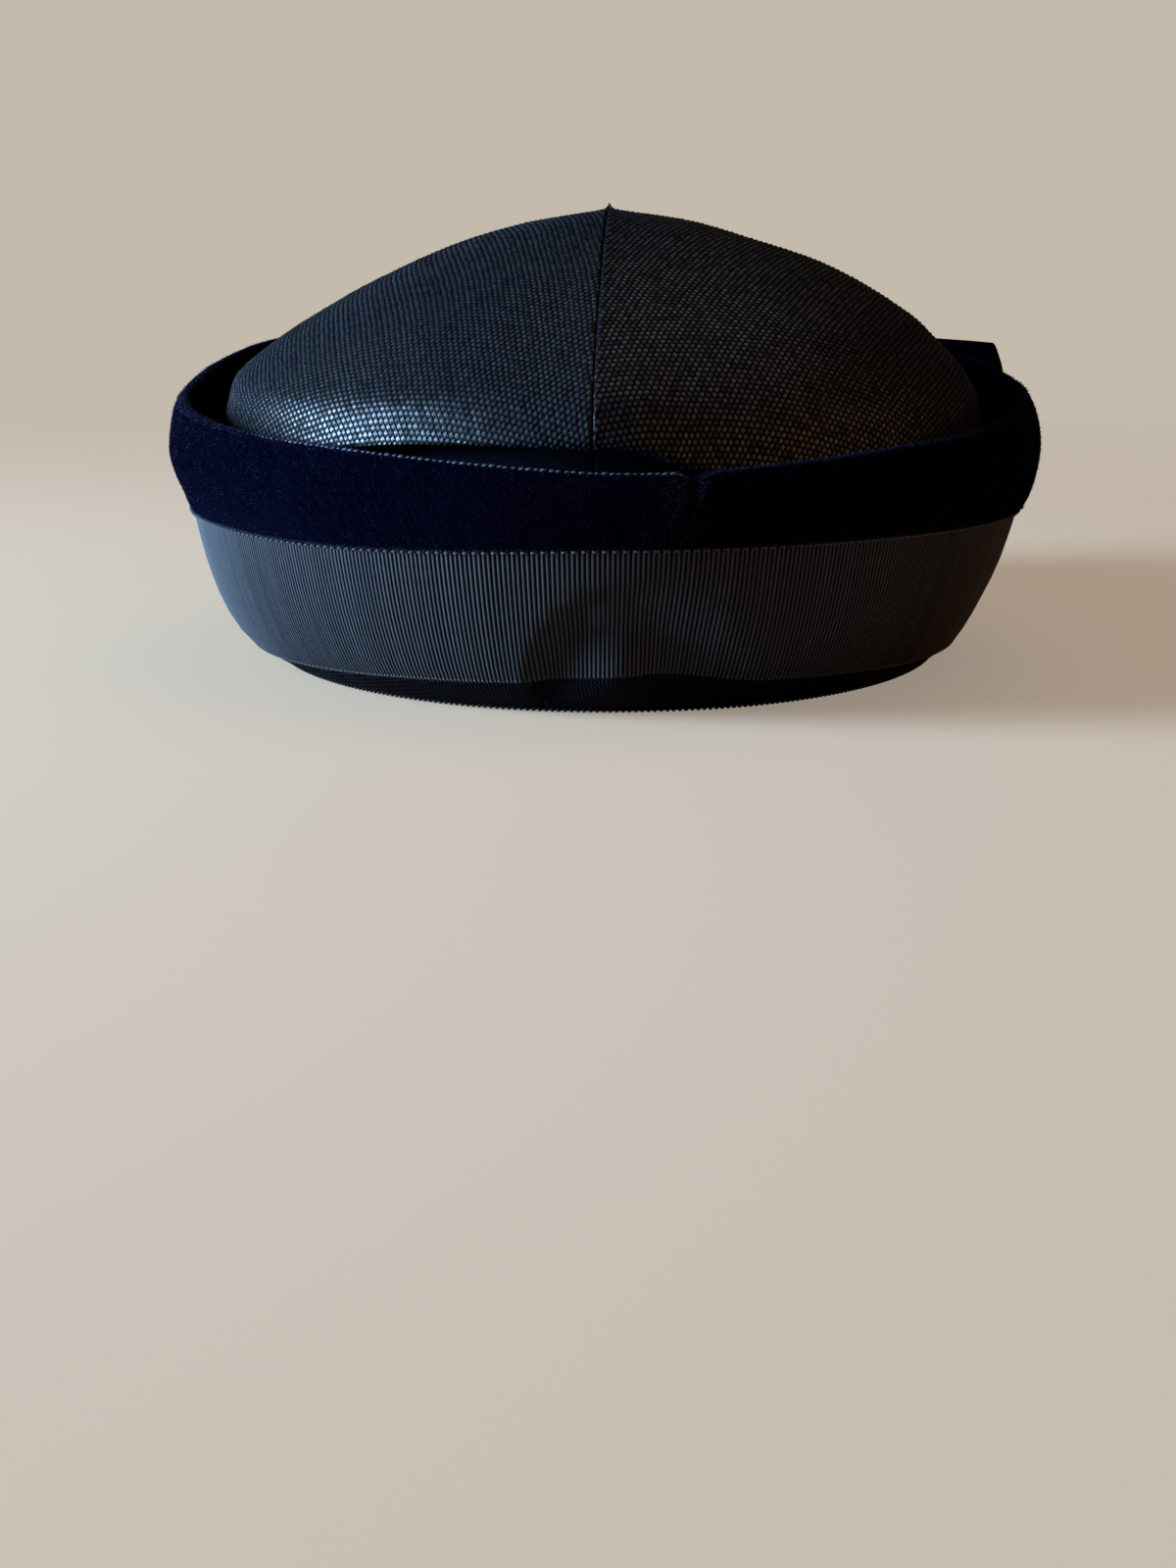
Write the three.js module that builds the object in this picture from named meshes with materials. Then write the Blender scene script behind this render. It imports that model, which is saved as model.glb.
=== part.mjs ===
// Pillbox hat: a pointed crown of straw cloth inside an upturned velvet brim, with a ribbon round it.
// Millimetres, +Z up. The origin is the middle of the head opening, on the surface that the hat
// rests on. The back of the hat faces -Y, and angles run from the back towards +X.

import * as THREE from 'three';

// Walls, and the gap that neighbouring pieces keep
const GAP = 0.3;
const BRIM_WALL = 2;
const RIM_WALL = 2.8;
const CROWN_WALL = 1.4;
const RIBBON_WALL = 0.9;
const HEAD_RIBBON_WALL = 0.8;
const LOOP_WALL = 1.8;

// Outer face of the ribbon: radius to the left, right, back and front for each height
const WALL_ROWS = [
  { height: 0, left: 80.6, right: 81.6, back: 96.2, front: 95.5 },
  { height: 4, left: 87.7, right: 86.9, back: 100.8, front: 99.8 },
  { height: 8, left: 91.4, right: 89.7, back: 104.2, front: 103.0 },
  { height: 14, left: 94.6, right: 92.8, back: 108.4, front: 107.2 },
  { height: 22, left: 97.4, right: 96.4, back: 112.8, front: 111.4 },
  { height: 30, left: 99.4, right: 98.9, back: 116.4, front: 114.9 },
  { height: 40, left: 101.4, right: 101.6, back: 119.6, front: 117.6 },
];

// Outer face of the velvet above the ribbon, from the ribbon's edge (0) to the top of the rim (1)
const CUFF_ROWS = [
  { rise: 0.0, left: 101.2, right: 102.4, back: 119.8, front: 118.0 },
  { rise: 0.15, left: 102.6, right: 104.0, back: 120.8, front: 119.6 },
  { rise: 0.32, left: 104.5, right: 105.1, back: 121.4, front: 120.9 },
  { rise: 0.52, left: 105.8, right: 105.8, back: 121.5, front: 121.5 },
  { rise: 0.72, left: 105.5, right: 105.4, back: 120.9, front: 121.4 },
  { rise: 0.88, left: 104.7, right: 104.1, back: 119.7, front: 120.6 },
  { rise: 0.96, left: 103.7, right: 102.8, back: 118.5, front: 119.7 },
];

// Heights round the hat: the ribbon's two edges, the top of the rim and the crown's widest line,
// which wave as hand-shaped work does
const ROUND_ROWS = [
  { angle: -180, ribbonFoot: 3.0, ribbonTop: 37.0, rim: 77.0, crownEdge: 60.0 },
  { angle: -150, ribbonFoot: 3.0, ribbonTop: 36.6, rim: 75.6, crownEdge: 60.3 },
  { angle: -118, ribbonFoot: 3.1, ribbonTop: 36.2, rim: 71.0, crownEdge: 61.0 },
  { angle: -104, ribbonFoot: 3.2, ribbonTop: 36.0, rim: 67.0, crownEdge: 61.3 },
  { angle: -90, ribbonFoot: 3.4, ribbonTop: 35.9, rim: 62.8, crownEdge: 61.6 },
  { angle: -64, ribbonFoot: 4.1, ribbonTop: 36.0, rim: 59.7, crownEdge: 59.0 },
  { angle: -43, ribbonFoot: 5.5, ribbonTop: 36.1, rim: 57.5, crownEdge: 58.6 },
  { angle: -25, ribbonFoot: 7.0, ribbonTop: 36.8, rim: 56.0, crownEdge: 60.8 },
  { angle: -4, ribbonFoot: 7.8, ribbonTop: 38.2, rim: 53.8, crownEdge: 61.3 },
  { angle: 4, ribbonFoot: 7.9, ribbonTop: 38.35, rim: 53.5, crownEdge: 60.4 },
  { angle: 12, ribbonFoot: 7.9, ribbonTop: 38.4, rim: 53.7, crownEdge: 56.0 },
  { angle: 31, ribbonFoot: 6.8, ribbonTop: 38.2, rim: 56.0, crownEdge: 54.0 },
  { angle: 54, ribbonFoot: 5.0, ribbonTop: 37.3, rim: 58.0, crownEdge: 54.6 },
  { angle: 74, ribbonFoot: 4.0, ribbonTop: 36.2, rim: 61.6, crownEdge: 56.5 },
  { angle: 93, ribbonFoot: 3.5, ribbonTop: 36.0, rim: 64.2, crownEdge: 57.6 },
  { angle: 113, ribbonFoot: 3.2, ribbonTop: 36.2, rim: 68.6, crownEdge: 58.6 },
  { angle: 150, ribbonFoot: 3.0, ribbonTop: 36.6, rim: 75.2, crownEdge: 59.6 },
  { angle: 180, ribbonFoot: 3.0, ribbonTop: 37.0, rim: 77.0, crownEdge: 60.0 },
];

// Inner face of the brim: how far inside the ribbon's outer face it runs
const BRIM_INSET = RIBBON_WALL + GAP;
const BRIM_INNER_HEIGHTS = [30, 22, 14, 7, 0];

// Join of the velvet at the back: a shallow notch in the rim
const NOTCH = { angle: 9.6, halfWidth: 1.9, depth: 1.3 };

// Dent pushed into the back of the ribbon, and how far it lifts the ribbon's lower edge
const DENT = { angle: 3, height: 14, width: 11.5, rise: 12, depth: 3.6, lift: 1.8 };

// Crown: radii of each level of its outer face. lift says how much a level follows the wave of the
// crown's edge, and ridge how much it follows the seam. The edge turns sharply under itself.
const CROWN_EDGE = 58.5;
const CROWN_ROWS = [
  { height: 103.4, left: 0, right: 0, back: 0, front: 0, lift: 0, ridge: 1 },
  { height: 102.7, left: 11.8, right: 14.4, back: 14.8, front: 14.8, lift: 0, ridge: 1 },
  { height: 101.3, left: 21.4, right: 23.7, back: 25.6, front: 25.6, lift: 0, ridge: 1 },
  { height: 97.9, left: 33.8, right: 36.6, back: 40.0, front: 40.0, lift: 0, ridge: 1 },
  { height: 94.3, left: 43.3, right: 48.2, back: 52.0, front: 52.0, lift: 0, ridge: 1 },
  { height: 90.5, left: 52.1, right: 57.0, back: 62.0, front: 62.0, lift: 0, ridge: 1 },
  { height: 86.8, left: 59.8, right: 63.8, back: 70.2, front: 70.2, lift: 0, ridge: 1 },
  { height: 83.1, left: 66.4, right: 69.9, back: 77.4, front: 77.4, lift: 0, ridge: 1 },
  { height: 79.3, left: 72.5, right: 75.6, back: 84.0, front: 84.0, lift: 0.05, ridge: 1 },
  { height: 75.5, left: 78.0, right: 79.7, back: 89.2, front: 89.2, lift: 0.15, ridge: 1 },
  { height: 70.0, left: 84.5, right: 85.5, back: 96.0, front: 96.0, lift: 0.4, ridge: 1 },
  { height: 64.5, left: 89.7, right: 89.6, back: 101.4, front: 101.3, lift: 0.7, ridge: 1 },
  { height: CROWN_EDGE, left: 92.2, right: 92.2, back: 104.0, front: 104.0, lift: 1, ridge: 0.9 },
  { height: 56.3, left: 91.6, right: 91.6, back: 103.4, front: 103.4, lift: 1, ridge: 0.7 },
  { height: 55.3, left: 89.6, right: 89.6, back: 101.4, front: 101.4, lift: 1, ridge: 0.3 },
  { height: 55.2, left: 85.8, right: 85.8, back: 98.2, front: 98.0, lift: 1, ridge: 0 },
  { height: 52.0, left: 84.6, right: 84.6, back: 97.2, front: 97.0, lift: 0.9, ridge: 0 },
  { height: 4.5, left: 83.0, right: 82.5, back: 96.5, front: 96.0, lift: 0, ridge: 0 },
].map((row, level) => ({ level, ...row }));
const CROWN_LEAN = 1.1;
const CROWN_LEAN_LEVELS = 12;
const SEAM_ANGLE = -2;
const SEAM_RIDGE = 2.3;
const SEAM_SPREAD = 16.5;

// Ribbon inside the head opening: radius of its outer face for each height
const HEAD_RIBBON_ROWS = [
  { height: 0.3, left: 76.8, right: 77.6, back: 92.5, front: 91.8 },
  { height: 4.5, left: 80.9, right: 80.6, back: 94.5, front: 94.0 },
  { height: 24, left: 81.6, right: 81.2, back: 94.8, front: 94.3 },
];

// Flattened velvet loop on the right of the front, standing on edge against the brim
const LOOP = { start: 113, end: 147, foot: 44, top: 71, depth: 6, stand: 0.5, swell: 6.2 };
const LOOP_STEPS = 12;
const LOOP_END_STEPS = 4;
const LOOP_LEVELS = 3;
const PLUMPEST = CUFF_ROWS[3];

// Facets
const RING_STEP = 5;
const PANEL_STEPS = 32;
const RIM_ARC_STEPS = 3;
const RIBBON_STEPS = 5;
const CUFF_INNER_RISES = [0.7, 0.35, 0.0];
const SMALL_STEP = 0.01;

const COLOURS = {
  straw: { color: '#20242b', roughness: 0.42, metalness: 0.0 },
  velvet: { color: '#0b0c16', roughness: 0.95, metalness: 0.0 },
  ribbon: { color: '#34363a', roughness: 0.8, metalness: 0.0 },
  headRibbon: { color: '#101116', roughness: 0.85, metalness: 0.0 },
};

const radians = THREE.MathUtils.degToRad;
const lerp = THREE.MathUtils.lerp;
const clamp = THREE.MathUtils.clamp;

// Value of one column of a table at a place along another, on a smooth curve through the rows
function readRows(rows, along, column, place) {
  const last = rows.length - 1;
  let i = 0;
  while (i < last - 1 && place > rows[i + 1][along]) {
    i += 1;
  }
  const slope = (j) => {
    const before = rows[Math.max(j - 1, 0)];
    const after = rows[Math.min(j + 1, last)];
    return (after[column] - before[column]) / (after[along] - before[along]);
  };
  const from = rows[i];
  const to = rows[i + 1];
  const span = to[along] - from[along];
  const t = clamp((place - from[along]) / span, 0, 1);
  const s = 1 - t;
  return (1 + 2 * t) * s * s * from[column] + t * s * s * span * slope(i)
    + t * t * (3 - 2 * t) * to[column] - t * t * s * span * slope(i + 1);
}

// Point of an oval ring with the given radii to its left, right, back and front
function onOval({ left, right, back, front }, angle, height) {
  const across = Math.sin(radians(angle));
  const along = Math.cos(radians(angle));
  const side = lerp(left, right, (1 + across) / 2);
  return new THREE.Vector3(side * across, -(along > 0 ? back : front) * along, height);
}

// The radii of a table's ring at a place, drawn in by inset
function ringAt(rows, along, place, inset = 0) {
  const radius = (column) => readRows(rows, along, column, place) - inset;
  return { left: radius('left'), right: radius('right'), back: radius('back'), front: radius('front') };
}

function roundAt(column, angle) {
  const turned = THREE.MathUtils.euclideanModulo(angle + 180, 360) - 180;
  return readRows(ROUND_ROWS, 'angle', column, turned);
}

function bell(distance) {
  return Math.exp(-distance * distance);
}

// How deep the dent is pushed in at a place
function dentAt(angle, height) {
  const fade = THREE.MathUtils.smoothstep(height, 0, DENT.height);
  const across = bell((angle - DENT.angle) / DENT.width);
  const upwards = bell((height - DENT.height) / DENT.rise);
  return fade * DENT.depth * across * upwards;
}

// Point on the wall under and behind the ribbon, drawn in by inset
function onWall(angle, height, inset) {
  return onOval(ringAt(WALL_ROWS, 'height', height, inset + dentAt(angle, height)), angle, height);
}

function rimTop(angle) {
  const off = Math.abs(angle - NOTCH.angle) / NOTCH.halfWidth;
  return roundAt('rim', angle) - NOTCH.depth * Math.max(0, 1 - off);
}

function cuffFoot(angle) {
  return roundAt('ribbonTop', angle) + GAP;
}

// Point on the velvet above the ribbon, drawn in by inset
function onCuff(angle, rise, inset) {
  const height = lerp(cuffFoot(angle), rimTop(angle), rise);
  return onOval(ringAt(CUFF_ROWS, 'rise', rise, inset), angle, height);
}

// Evenly spaced angles round the hat, with a few more where a small feature needs them
function ringAngles(extra = []) {
  const even = [];
  for (let angle = -180; angle < 180; angle += RING_STEP) {
    even.push(angle);
  }
  return [...even, ...extra].sort((a, b) => a - b);
}

function steps(count) {
  return Array.from({ length: count + 1 }, (_, i) => i / count);
}

// Closed solid from points and triangles
function solid(name, points, triangles, finish) {
  const geometry = new THREE.BufferGeometry();
  const places = points.flatMap((point) => point.toArray());
  geometry.setAttribute('position', new THREE.Float32BufferAttribute(places, 3));
  geometry.setIndex(triangles.flat());
  geometry.computeVertexNormals();
  const mesh = new THREE.Mesh(geometry, new THREE.MeshStandardMaterial(finish));
  mesh.name = name;
  return mesh;
}

// Ring solid: one closed section at each angle, its outer side listed upwards first
function ringSolid(name, sections, finish) {
  const count = sections[0].length;
  const triangles = [];
  for (let i = 0; i < sections.length; i += 1) {
    const next = (i + 1) % sections.length;
    for (let k = 0; k < count; k += 1) {
      const up = (k + 1) % count;
      const [a, b] = [i * count + k, next * count + k];
      const [c, d] = [next * count + up, i * count + up];
      triangles.push([a, b, c], [a, c, d]);
    }
  }
  return solid(name, sections.flat(), triangles, finish);
}

// Heights of the ribbon's rows at an angle: its lower edge lifts at the dent
function ribbonHeights(angle) {
  const foot = roundAt('ribbonFoot', angle) + DENT.lift * bell((angle - DENT.angle) / DENT.width);
  const top = roundAt('ribbonTop', angle);
  return steps(RIBBON_STEPS).map((t) => lerp(foot, top, t));
}

function grosgrainBand() {
  const sections = ringAngles().map((angle) => {
    const heights = ribbonHeights(angle);
    const outer = heights.map((height) => onWall(angle, height, 0));
    const inner = heights.map((height) => onWall(angle, height, RIBBON_WALL)).reverse();
    return [...outer, ...inner];
  });
  return ringSolid('grosgrain_band', sections, COLOURS.ribbon);
}

// Upturned brim: thin behind the ribbon, plump above it, with a round rim
function velvetBrim() {
  const { angle: middle, halfWidth } = NOTCH;
  const notch = [middle - halfWidth, middle, middle + halfWidth];
  const sections = ringAngles(notch).map((angle) => {
    const heights = [0, ...ribbonHeights(angle), cuffFoot(angle)];
    const behind = heights.map((height) => onWall(angle, height, BRIM_INSET));
    const outer = CUFF_ROWS.map((row) => onCuff(angle, row.rise, 0));
    const shoulder = outer[outer.length - 1];
    const inside = onCuff(angle, CUFF_ROWS[CUFF_ROWS.length - 1].rise, RIM_WALL);
    const rim = steps(RIM_ARC_STEPS + 1).slice(1, -1).map((t) => {
      const turn = Math.PI * t;
      const point = shoulder.clone().lerp(inside, (1 - Math.cos(turn)) / 2);
      const crest = rimTop(angle) - shoulder.z;
      point.z = shoulder.z + crest * Math.sin(turn) / Math.sin(Math.PI / (RIM_ARC_STEPS + 1) * 2);
      return point;
    });
    const inner = CUFF_INNER_RISES.map((rise) => onCuff(angle, rise, RIM_WALL));
    const lower = BRIM_INNER_HEIGHTS.map((height) => onWall(angle, height, BRIM_INSET + BRIM_WALL));
    return [...behind, ...outer, ...rim, inside, ...inner, ...lower];
  });
  return ringSolid('velvet_brim', sections, COLOURS.velvet);
}

// Ribbon inside the head opening
function headRibbon() {
  const sections = ringAngles().map((angle) => {
    const heights = HEAD_RIBBON_ROWS.map((row) => row.height);
    const face = (inset) => heights.map((height) => (
      onOval(ringAt(HEAD_RIBBON_ROWS, 'height', height, inset), angle, height)
    ));
    const outer = face(0);
    const inner = face(HEAD_RIBBON_WALL).reverse();
    return [...outer, ...inner];
  });
  return ringSolid('head_ribbon', sections, COLOURS.headRibbon);
}

// Outer face of the crown before its seam stands up, by level and angle
function onDome(level, angle) {
  const wave = roundAt('crownEdge', angle) - CROWN_EDGE;
  const lift = readRows(CROWN_ROWS, 'level', 'lift', level);
  const height = readRows(CROWN_ROWS, 'level', 'height', level) + wave * lift;
  const point = onOval(ringAt(CROWN_ROWS, 'level', level), angle, height);
  point.x += CROWN_LEAN * Math.max(0, 1 - level / CROWN_LEAN_LEVELS);
  return point;
}

function domeNormal(level, angle) {
  if (level === 0) {
    return new THREE.Vector3(0, 0, 1);
  }
  const last = CROWN_ROWS.length - 1;
  const lower = onDome(Math.min(level + SMALL_STEP, last), angle);
  const down = lower.sub(onDome(level - SMALL_STEP, angle));
  const round = onDome(level, angle + SMALL_STEP).sub(onDome(level, angle - SMALL_STEP));
  return down.cross(round).normalize();
}

// Outer and inner points of the crown's wall
function crownWall(level, angle) {
  const outer = onDome(level, angle);
  const normal = domeNormal(level, angle);
  const ridge = SEAM_RIDGE * readRows(CROWN_ROWS, 'level', 'ridge', level);
  const seam = onDome(level, Math.abs(angle) < 90 ? SEAM_ANGLE : 180 + SEAM_ANGLE);
  const fromSeam = Math.abs(outer.x - seam.x);
  outer.addScaledVector(normal, ridge * Math.exp(-fromSeam / SEAM_SPREAD));
  return { outer, inner: outer.clone().addScaledVector(normal, -CROWN_WALL) };
}

// One half of the crown, from the seam at the back to the seam at the front
function crownPanel(name, hand) {
  const levels = CROWN_ROWS.length;
  const across = PANEL_STEPS + 1;
  const points = [];
  const faces = { outer: [], inner: [] };
  for (const face of ['outer', 'inner']) {
    for (let level = 0; level < levels; level += 1) {
      const row = [];
      for (let i = 0; i < across; i += 1) {
        if (level === 0 && i > 0) {
          row.push(row[0]);
        } else {
          const angle = SEAM_ANGLE + hand * 180 * i / PANEL_STEPS;
          const point = crownWall(level, angle)[face];
          point.x += hand * GAP / 2;
          row.push(points.push(point) - 1);
        }
      }
      faces[face].push(row);
    }
  }
  const triangles = [];
  const patch = (a, b, c, d) => {
    const order = hand > 0 ? [[a, b, c], [a, c, d]] : [[a, c, b], [a, d, c]];
    triangles.push(...order.filter(([p, q, r]) => p !== q && q !== r && p !== r));
  };
  const { outer, inner } = faces;
  for (let level = 0; level < levels - 1; level += 1) {
    for (let i = 0; i < across - 1; i += 1) {
      patch(outer[level][i], outer[level + 1][i], outer[level + 1][i + 1], outer[level][i + 1]);
      patch(inner[level][i], inner[level][i + 1], inner[level + 1][i + 1], inner[level + 1][i]);
    }
    const end = across - 1;
    patch(inner[level][0], inner[level + 1][0], outer[level + 1][0], outer[level][0]);
    patch(outer[level][end], outer[level + 1][end], inner[level + 1][end], inner[level][end]);
  }
  const foot = levels - 1;
  for (let i = 0; i < across - 1; i += 1) {
    patch(outer[foot][i], inner[foot][i], inner[foot][i + 1], outer[foot][i + 1]);
  }
  return solid(name, points, triangles, COLOURS.straw);
}

// Flattened loop of velvet ribbon: out along the brim, round a narrow end, and back outside itself
function velvetLoop() {
  const levels = steps(LOOP_LEVELS);
  const ring = (angle, height, stand) => {
    const rise = (height - cuffFoot(angle)) / (rimTop(angle) - cuffFoot(angle));
    const radii = ringAt(CUFF_ROWS, 'rise', clamp(rise, 0, PLUMPEST.rise), -stand);
    return onOval(radii, angle, height);
  };
  const stations = [];
  const end = (angle, outwards) => steps(LOOP_END_STEPS).slice(1, -1).map((t) => ({
    angle, turn: outwards ? Math.PI * t : Math.PI * (1 - t), side: outwards ? 1 : -1,
  }));
  const run = (from, to, turn) => steps(LOOP_STEPS).map((t) => ({
    angle: lerp(from, to, t), turn, side: 0,
  }));
  stations.push(...run(LOOP.start, LOOP.end, Math.PI), ...end(LOOP.end, true).reverse());
  stations.push(...run(LOOP.end, LOOP.start, 0), ...end(LOOP.start, false).reverse());
  const middle = LOOP.stand + LOOP.depth / 2;
  const sections = stations.map(({ angle, turn, side }) => {
    const place = (height, wall) => {
      const half = LOOP.depth / 2 - wall;
      const along = side * half * Math.sin(turn);
      const raised = (height - LOOP.foot) / (LOOP.top - LOOP.foot);
      const swell = LOOP.swell * Math.sin(Math.PI * raised);
      const reach = radians(PLUMPEST.right);
      const outwards = middle - half * Math.cos(turn);
      const bulge = along + Math.sign(side) * swell;
      return ring(angle + bulge / reach, height, outwards);
    };
    const heights = levels.map((t) => lerp(LOOP.foot, LOOP.top, t));
    const outer = heights.map((height) => place(height, 0));
    const inner = heights.map((height) => place(height, LOOP_WALL)).reverse();
    return [...outer, ...inner];
  });
  return ringSolid('velvet_loop', sections, COLOURS.velvet);
}

const hat = new THREE.Group();
hat.add(crownPanel('crown_left', -1));
hat.add(crownPanel('crown_right', 1));
hat.add(velvetBrim());
hat.add(grosgrainBand());
hat.add(headRibbon());
hat.add(velvetLoop());

export default hat;
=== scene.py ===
"""Pillbox hat: a crown of two straw-cloth panels inside an upturned velvet brim, with ribbed ribbon.

Sizes are worked out in millimetres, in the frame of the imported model, and become metres when a mesh is
made. The back of the hat faces -Y, and angles round it run from the back towards +X.
"""

import math

import bpy
import numpy as np
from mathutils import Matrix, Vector
from mathutils.geometry import delaunay_2d_cdt


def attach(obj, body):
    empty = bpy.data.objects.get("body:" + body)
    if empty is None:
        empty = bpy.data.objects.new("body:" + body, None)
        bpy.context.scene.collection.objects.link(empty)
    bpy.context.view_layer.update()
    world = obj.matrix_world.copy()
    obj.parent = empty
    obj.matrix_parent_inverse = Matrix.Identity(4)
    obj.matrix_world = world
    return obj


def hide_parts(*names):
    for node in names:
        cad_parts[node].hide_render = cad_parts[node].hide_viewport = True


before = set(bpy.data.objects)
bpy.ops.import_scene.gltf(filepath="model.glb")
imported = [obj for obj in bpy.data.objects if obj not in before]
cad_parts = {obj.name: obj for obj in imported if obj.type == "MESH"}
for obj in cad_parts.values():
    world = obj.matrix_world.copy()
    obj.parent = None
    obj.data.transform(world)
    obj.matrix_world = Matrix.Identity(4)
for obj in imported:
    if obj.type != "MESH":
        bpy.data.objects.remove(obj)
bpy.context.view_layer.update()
MM = 0.001

# Camera, at the photo's angle to the hat

CAMERA_PLACE = (-0.0041, -0.618, 0.105)
CAMERA_PITCH_DOWN = 13.0
FOCAL_PIXELS = 2532.0
FRAME_HEIGHT_PIXELS = 1600.0
SENSOR_MM = 36.0


def place_camera():
    camera = bpy.data.cameras.new("photo_camera")
    camera.sensor_width = SENSOR_MM
    camera.lens = FOCAL_PIXELS / FRAME_HEIGHT_PIXELS * SENSOR_MM
    camera.clip_start = 0.01
    holder = put_in_scene("photo_camera", camera)
    holder.location = CAMERA_PLACE
    holder.rotation_euler = (math.radians(90.0 - CAMERA_PITCH_DOWN), 0.0, 0.0)
    bpy.context.scene.camera = holder


# Sizes of the hat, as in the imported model, apart from the crown's fold, which is sharper at levels 12 to 14


class Table:
    """Rows of sizes, read by column along the first one on a smooth curve through the rows."""

    def __init__(self, columns, rows):
        self.columns = columns.split()
        self.rows = np.array(rows, float)

    def read(self, column, place):
        x = self.rows[:, 0]
        y = self.rows[:, self.columns.index(column)]
        count = np.arange(len(x))
        before = np.maximum(count - 1, 0)
        after = np.minimum(count + 1, len(x) - 1)
        slope = (y[after] - y[before]) / (x[after] - x[before])
        place = np.asarray(place, float)
        i = np.clip(np.searchsorted(x, place) - 1, 0, len(x) - 2)
        span = x[i + 1] - x[i]
        t = np.clip((place - x[i]) / span, 0, 1)
        s = 1 - t
        return (
            (1 + 2 * t) * s * s * y[i] + t * s * s * span * slope[i]
            + t * t * (3 - 2 * t) * y[i + 1] - t * t * s * span * slope[i + 1]
        )


WALL = Table("height left right back front", [
    (0, 80.6, 81.6, 96.2, 95.5),
    (4, 87.7, 86.9, 100.8, 99.8),
    (8, 91.4, 89.7, 104.2, 103.0),
    (14, 94.6, 92.8, 108.4, 107.2),
    (22, 97.4, 96.4, 112.8, 111.4),
    (30, 99.4, 98.9, 116.4, 114.9),
    (40, 101.4, 101.6, 119.6, 117.6),
])
CUFF = Table("rise left right back front", [
    (0.0, 101.2, 102.4, 119.8, 118.0),
    (0.15, 102.6, 104.0, 120.8, 119.6),
    (0.32, 104.5, 105.1, 121.4, 120.9),
    (0.52, 105.8, 105.8, 121.5, 121.5),
    (0.72, 105.5, 105.4, 120.9, 121.4),
    (0.88, 104.7, 104.1, 119.7, 120.6),
    (0.96, 103.7, 102.8, 118.5, 119.7),
])
ROUND = Table("angle ribbon_foot ribbon_top rim crown_edge", [
    (-180, 3.0, 37.0, 77.0, 60.0),
    (-150, 3.0, 36.6, 75.6, 60.3),
    (-118, 3.1, 36.2, 71.0, 61.0),
    (-104, 3.2, 36.0, 67.0, 61.3),
    (-90, 3.4, 35.9, 62.8, 61.6),
    (-64, 4.1, 36.0, 59.7, 59.0),
    (-43, 5.5, 36.1, 57.5, 58.6),
    (-25, 7.0, 36.8, 56.0, 60.8),
    (-4, 7.8, 38.2, 53.8, 61.3),
    (4, 7.9, 38.35, 53.5, 60.4),
    (12, 7.9, 38.4, 53.7, 56.0),
    (31, 6.8, 38.2, 56.0, 54.0),
    (54, 5.0, 37.3, 58.0, 54.6),
    (74, 4.0, 36.2, 61.6, 56.5),
    (93, 3.5, 36.0, 64.2, 57.6),
    (113, 3.2, 36.2, 68.6, 58.6),
    (150, 3.0, 36.6, 75.2, 59.6),
    (180, 3.0, 37.0, 77.0, 60.0),
])
CROWN = Table("level height left right back front lift ridge", [
    (0, 103.4, 0, 0, 0, 0, 0, 1),
    (1, 102.7, 11.8, 14.4, 14.8, 14.8, 0, 1),
    (2, 101.3, 21.4, 23.7, 25.6, 25.6, 0, 1),
    (3, 97.9, 33.8, 36.6, 40.0, 40.0, 0, 1),
    (4, 94.3, 43.3, 48.2, 52.0, 52.0, 0, 1),
    (5, 90.5, 52.1, 57.0, 62.0, 62.0, 0, 1),
    (6, 86.8, 59.8, 63.8, 70.2, 70.2, 0, 1),
    (7, 83.1, 66.4, 69.9, 77.4, 77.4, 0, 1),
    (8, 79.3, 72.5, 75.6, 84.0, 84.0, 0.05, 1),
    (9, 75.5, 78.0, 79.7, 89.2, 89.2, 0.15, 1),
    (10, 70.0, 84.5, 85.5, 96.0, 96.0, 0.4, 1),
    (11, 64.5, 89.7, 89.6, 101.4, 101.3, 0.7, 1),
    (12, 58.3, 91.5, 91.6, 104.3, 104.1, 1, 0.9),
    (13, 55.7, 92.1, 92.2, 105.2, 104.9, 1, 0.7),
    (14, 55.0, 91.6, 91.6, 104.4, 104.1, 1, 0.3),
    (15, 55.2, 85.8, 85.8, 98.2, 98.0, 1, 0),
    (16, 52.0, 84.6, 84.6, 97.2, 97.0, 0.9, 0),
    (17, 4.5, 83.0, 82.5, 96.5, 96.0, 0, 0),
])
HEAD_RIBBON = Table("height left right back front", [
    (0.3, 76.8, 77.6, 92.5, 91.8),
    (4.5, 80.9, 80.6, 94.5, 94.0),
    (24, 81.6, 81.2, 94.8, 94.3),
])
CROWN_EDGE = 58.5
CROWN_LEAN, CROWN_LEAN_LEVELS = 1.1, 12
SEAM_ANGLE, SEAM_RIDGE, SEAM_SPREAD = -2, 2.3, 16.5
RIBBON_WALL, BRIM_INSET, BRIM_WALL, RIM_WALL = 0.9, 1.2, 2.0, 2.8
GAP = 0.3
TWILL_PITCH, TWILL_COLUMNS, TWILL_SLANT = 0.95, 4, 0.8


def bell(distance):
    return np.exp(-np.square(distance))


def fade(low, high, x):
    t = np.clip((np.asarray(x, float) - low) / (high - low), 0, 1)
    return t * t * (3 - 2 * t)


def turned(angle):
    return (np.asarray(angle, float) + 180) % 360 - 180


def round_at(column, angle):
    return ROUND.read(column, turned(angle))


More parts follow.
